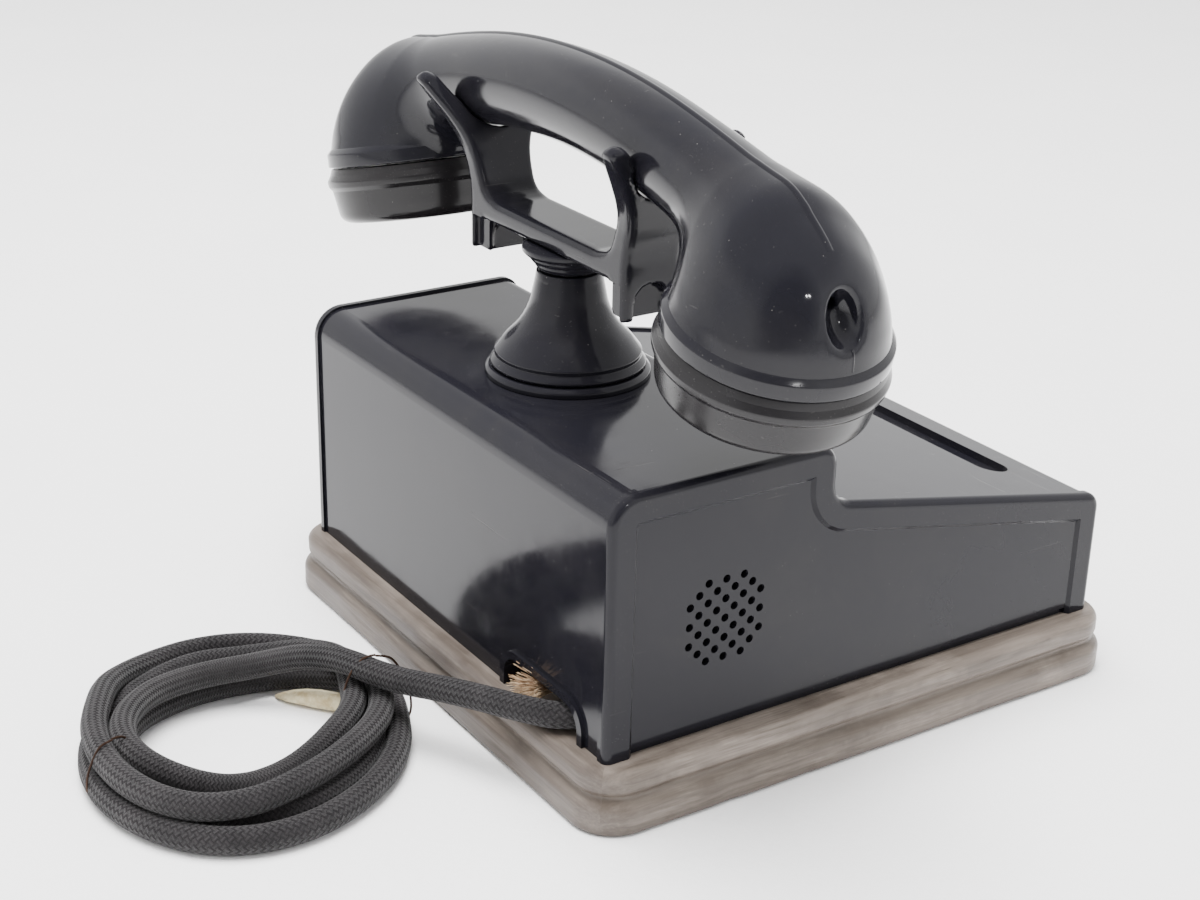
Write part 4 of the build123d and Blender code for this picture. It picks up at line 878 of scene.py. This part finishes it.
flange_profile = rounded(
    [(8.1, 99.52), (25.4, 99.52), (25.4, 101.2), (24.2, 102.28), (8.1, 102.28), (8.1, 99.52)],
    [0.3, 1.0, 0.8, 0, 0],
)
flange = lathe("pedestal_flange_turned", flange_profile, looks["bakelite"], "base", (0, pedestal_y, 0))
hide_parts("pedestal_flange")

# ------------------------------------------------------------------ wooden base
low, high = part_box("wooden_base")
half_x, half_y, base_height = high.x / MM, high.y / MM, high.z / MM
base_profile = rounded(
    [
        (8.0, 0.05), (0.0, 0.05), (0.0, 8.6), (2.4, 11.0), (2.6, 12.0), (1.5, 13.6), (1.5, base_height),
        (12.0, base_height),
    ],
    [2.0, 3.6, 1.6, 0.8, 1.6, 5.6],
    6,
)
generator = np.random.default_rng(7)
# each dent: place round the plinth, height, size and depth
dent_ranges = ((0, 1), (1.0, 19.0), (1.2, 5.0), (0.08, 0.38))
dents = [tuple(generator.uniform(*limits) for limits in dent_ranges) for _ in range(120)]
outline, outward = [], []
corner, ring_step = 14.0, 2.2
for side_x, side_y, first in ((1, -1, -90), (1, 1, 0), (-1, 1, 90), (-1, -1, 180)):
    for k in range(13):
        t = math.radians(first + 7.5 * k)
        middle_x, middle_y = side_x * (half_x - corner), side_y * (half_y - corner)
        outline.append((middle_x + corner * math.cos(t), middle_y + corner * math.sin(t)))
        outward.append((math.cos(t), math.sin(t)))
ring, ring_out = [], []
for k in range(len(outline)):
    a, b = np.array(outline[k]), np.array(outline[(k + 1) % len(outline)])
    pieces_here = max(1, int(round(np.linalg.norm(b - a) / ring_step)))
    for j in range(pieces_here):
        f = j / pieces_here
        ring.append(a + (b - a) * f)
        mixed = np.array(outward[k]) * (1 - f) + np.array(outward[(k + 1) % len(outline)]) * f
        ring_out.append(mixed / np.linalg.norm(mixed))
ring, ring_out = np.array(ring), np.array(ring_out)
count = len(ring)
place = np.arange(count) / count
base_points = []
for inset, height in base_profile:
    depth = np.full(count, float(inset))
    depth += 0.10 * np.sin(place * 61.0 + height * 0.35) * np.sin(place * 23.0 + 1.0)
    for where, at_height, size, sink in dents:
        gap = np.abs((place - where + 0.5) % 1.0 - 0.5) * count * ring_step
        depth += sink * np.exp(-((gap / size) ** 2) - ((height - at_height) / (0.6 * size)) ** 2)
    flat = ring - ring_out * np.maximum(depth, 0.0)[:, None]
    base_points += [(x * MM, y * MM, height * MM) for x, y in flat]
base_faces = closed_bands(len(base_profile), count)
plinth = mesh_object("wooden_base_moulded", base_points, base_faces, looks["wood"], "base")
plinth.data.set_sharp_from_angle(angle=math.radians(40))
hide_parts("wooden_base")

# ------------------------------------------------------------------ torn end of the handset cord
tuft_data = bpy.data.curves.new("torn_cord_fibres", "CURVE")
tuft_data.dimensions = "3D"
tuft_data.resolution_u = 4
tuft_data.bevel_depth = 0.2 * MM
tuft_data.bevel_resolution = 2
tuft_root = Vector((-51.5, 84.0, 25.2))
plinth_top_clear = 20.9
for _ in range(150):
    t = generator.uniform(0, 2 * math.pi)
    spread = 0.8 * generator.uniform(0.2, 2.9)
    offset = Vector((spread * math.cos(t), 0, spread * math.sin(t)))
    length = generator.uniform(10.0, 16.0)
    bend = Vector((generator.uniform(-3.5, 4.5), 0, generator.uniform(-1.0, 5.5)))
    strand = tuft_data.splines.new("NURBS")
    strand.points.add(4)
    for j, point in enumerate(strand.points):
        f = j / 4
        at = tuft_root + offset * (1.0 + 0.9 * f * f) + Vector((0, length * f, 0)) + bend * f * f
        at.z = max(at.z, plinth_top_clear)
        point.co = (at.x * MM, at.y * MM, at.z * MM, 1.0)
        point.radius = 1.0 - 0.6 * f
    strand.order_u = 3
    strand.use_endpoint_u = True
looks["fray"] = threads("fray", (0.66, 0.50, 0.33), (0.34, 0.21, 0.12))
tuft = link_object("torn_cord_fibres", tuft_data, looks["fray"])
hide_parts("handset_cord_stub")

# ------------------------------------------------------------------ floor and light
floor_shader = Shader("floor_paper", Specular_IOR_Level=0.35)
floor_tooth = floor_shader.noise(210.0, 5.0, 0.65)
floor_cloud = floor_shader.noise(9.0, 3.0, 0.5)
floor_tone = floor_shader.mix(
    floor_shader.span(floor_cloud, 0.3, 0.7), (0.97, 0.965, 0.965), (0.94, 0.935, 0.94)
)
floor_shader.link(floor_tone, "Base Color")
floor_shader.link(floor_shader.span(floor_tooth, 0.2, 0.8, 0.45, 0.65), "Roughness")
floor_shader.link(floor_shader.bump(floor_tooth, 0.0012, 0.5), "Normal")
floor_data = bpy.data.meshes.new("floor")
floor_data.from_pydata([(-5, -5, 0), (5, -5, 0), (5, 5, 0), (-5, 5, 0)], [], [(0, 1, 2, 3)])
floor = link_object("floor", floor_data, floor_shader.material, None)

world = bpy.data.worlds.new("studio")
bpy.context.scene.world = world
world.use_nodes = True
sky = world.node_tree


def sky_ramp(value, stops):
    made = sky.nodes.new("ShaderNodeValToRGB")
    sky.links.new(value, made.inputs["Fac"])
    while len(made.color_ramp.elements) < len(stops):
        made.color_ramp.elements.new(0.5)
    for element, (position, level) in zip(made.color_ramp.elements, stops):
        element.position = position
        element.color = (level, level, level, 1)
    return made.outputs["Color"]


# pale near the horizon, dimmer overhead, and darkest on the side where a room would be
facing = sky.nodes.new("ShaderNodeTexCoord").outputs["Generated"]
height_up = sky.nodes.new("ShaderNodeSeparateXYZ")
sky.links.new(facing, height_up.inputs["Vector"])
ceiling = sky_ramp(height_up.outputs["Z"], [(0.0, 0.92), (0.46, 0.95), (0.66, 0.64), (1.0, 0.55)])
toward = sky.nodes.new("ShaderNodeVectorMath")
toward.operation = "DOT_PRODUCT"
sky.links.new(facing, toward.inputs[0])
toward.inputs[1].default_value = Vector((-0.80, 0.46, 0.38)).normalized()
room_behind = sky_ramp(toward.outputs["Value"], [(0.0, 1.0), (0.78, 1.0), (0.92, 0.30), (1.0, 0.22)])
both = sky.nodes.new("ShaderNodeVectorMath")
both.operation = "MULTIPLY"
sky.links.new(ceiling, both.inputs[0])
sky.links.new(room_behind, both.inputs[1])
sky.links.new(both.outputs["Vector"], sky.nodes["Background"].inputs["Color"])
sky.nodes["Background"].inputs["Strength"].default_value = 1.9


def softbox(name, location, target, size, power, mirrored=False):
    light = bpy.data.lights.new(name, "AREA")
    light.shape = "RECTANGLE"
    light.size, light.size_y = size
    light.energy = power
    made = bpy.data.objects.new(name, light)
    made.location = location
    made.rotation_euler = (Vector(target) - Vector(location)).to_track_quat("-Z", "Y").to_euler()
    made.visible_glossy = mirrored
    bpy.context.scene.collection.objects.link(made)


softbox("overhead", (0.1, 0.2, 1.9), (0, 0.02, 0.05), (1.5, 1.1), 125)
softbox("left_panel", (-1.2, -0.7, 1.0), (0, 0, 0.08), (0.9, 0.9), 3.5)
softbox("behind_panel", (0.3, 1.5, 0.9), (0, 0, 0.08), (1.2, 0.8), 4)
for name, spot in (("lamp_one", (-1.38, 0.25, 0.95)), ("lamp_two", (-1.38, 0.17, 0.93))):
    softbox(name, spot, (-0.05, 0.05, 0.1), (0.035, 0.035), 0.9, True)
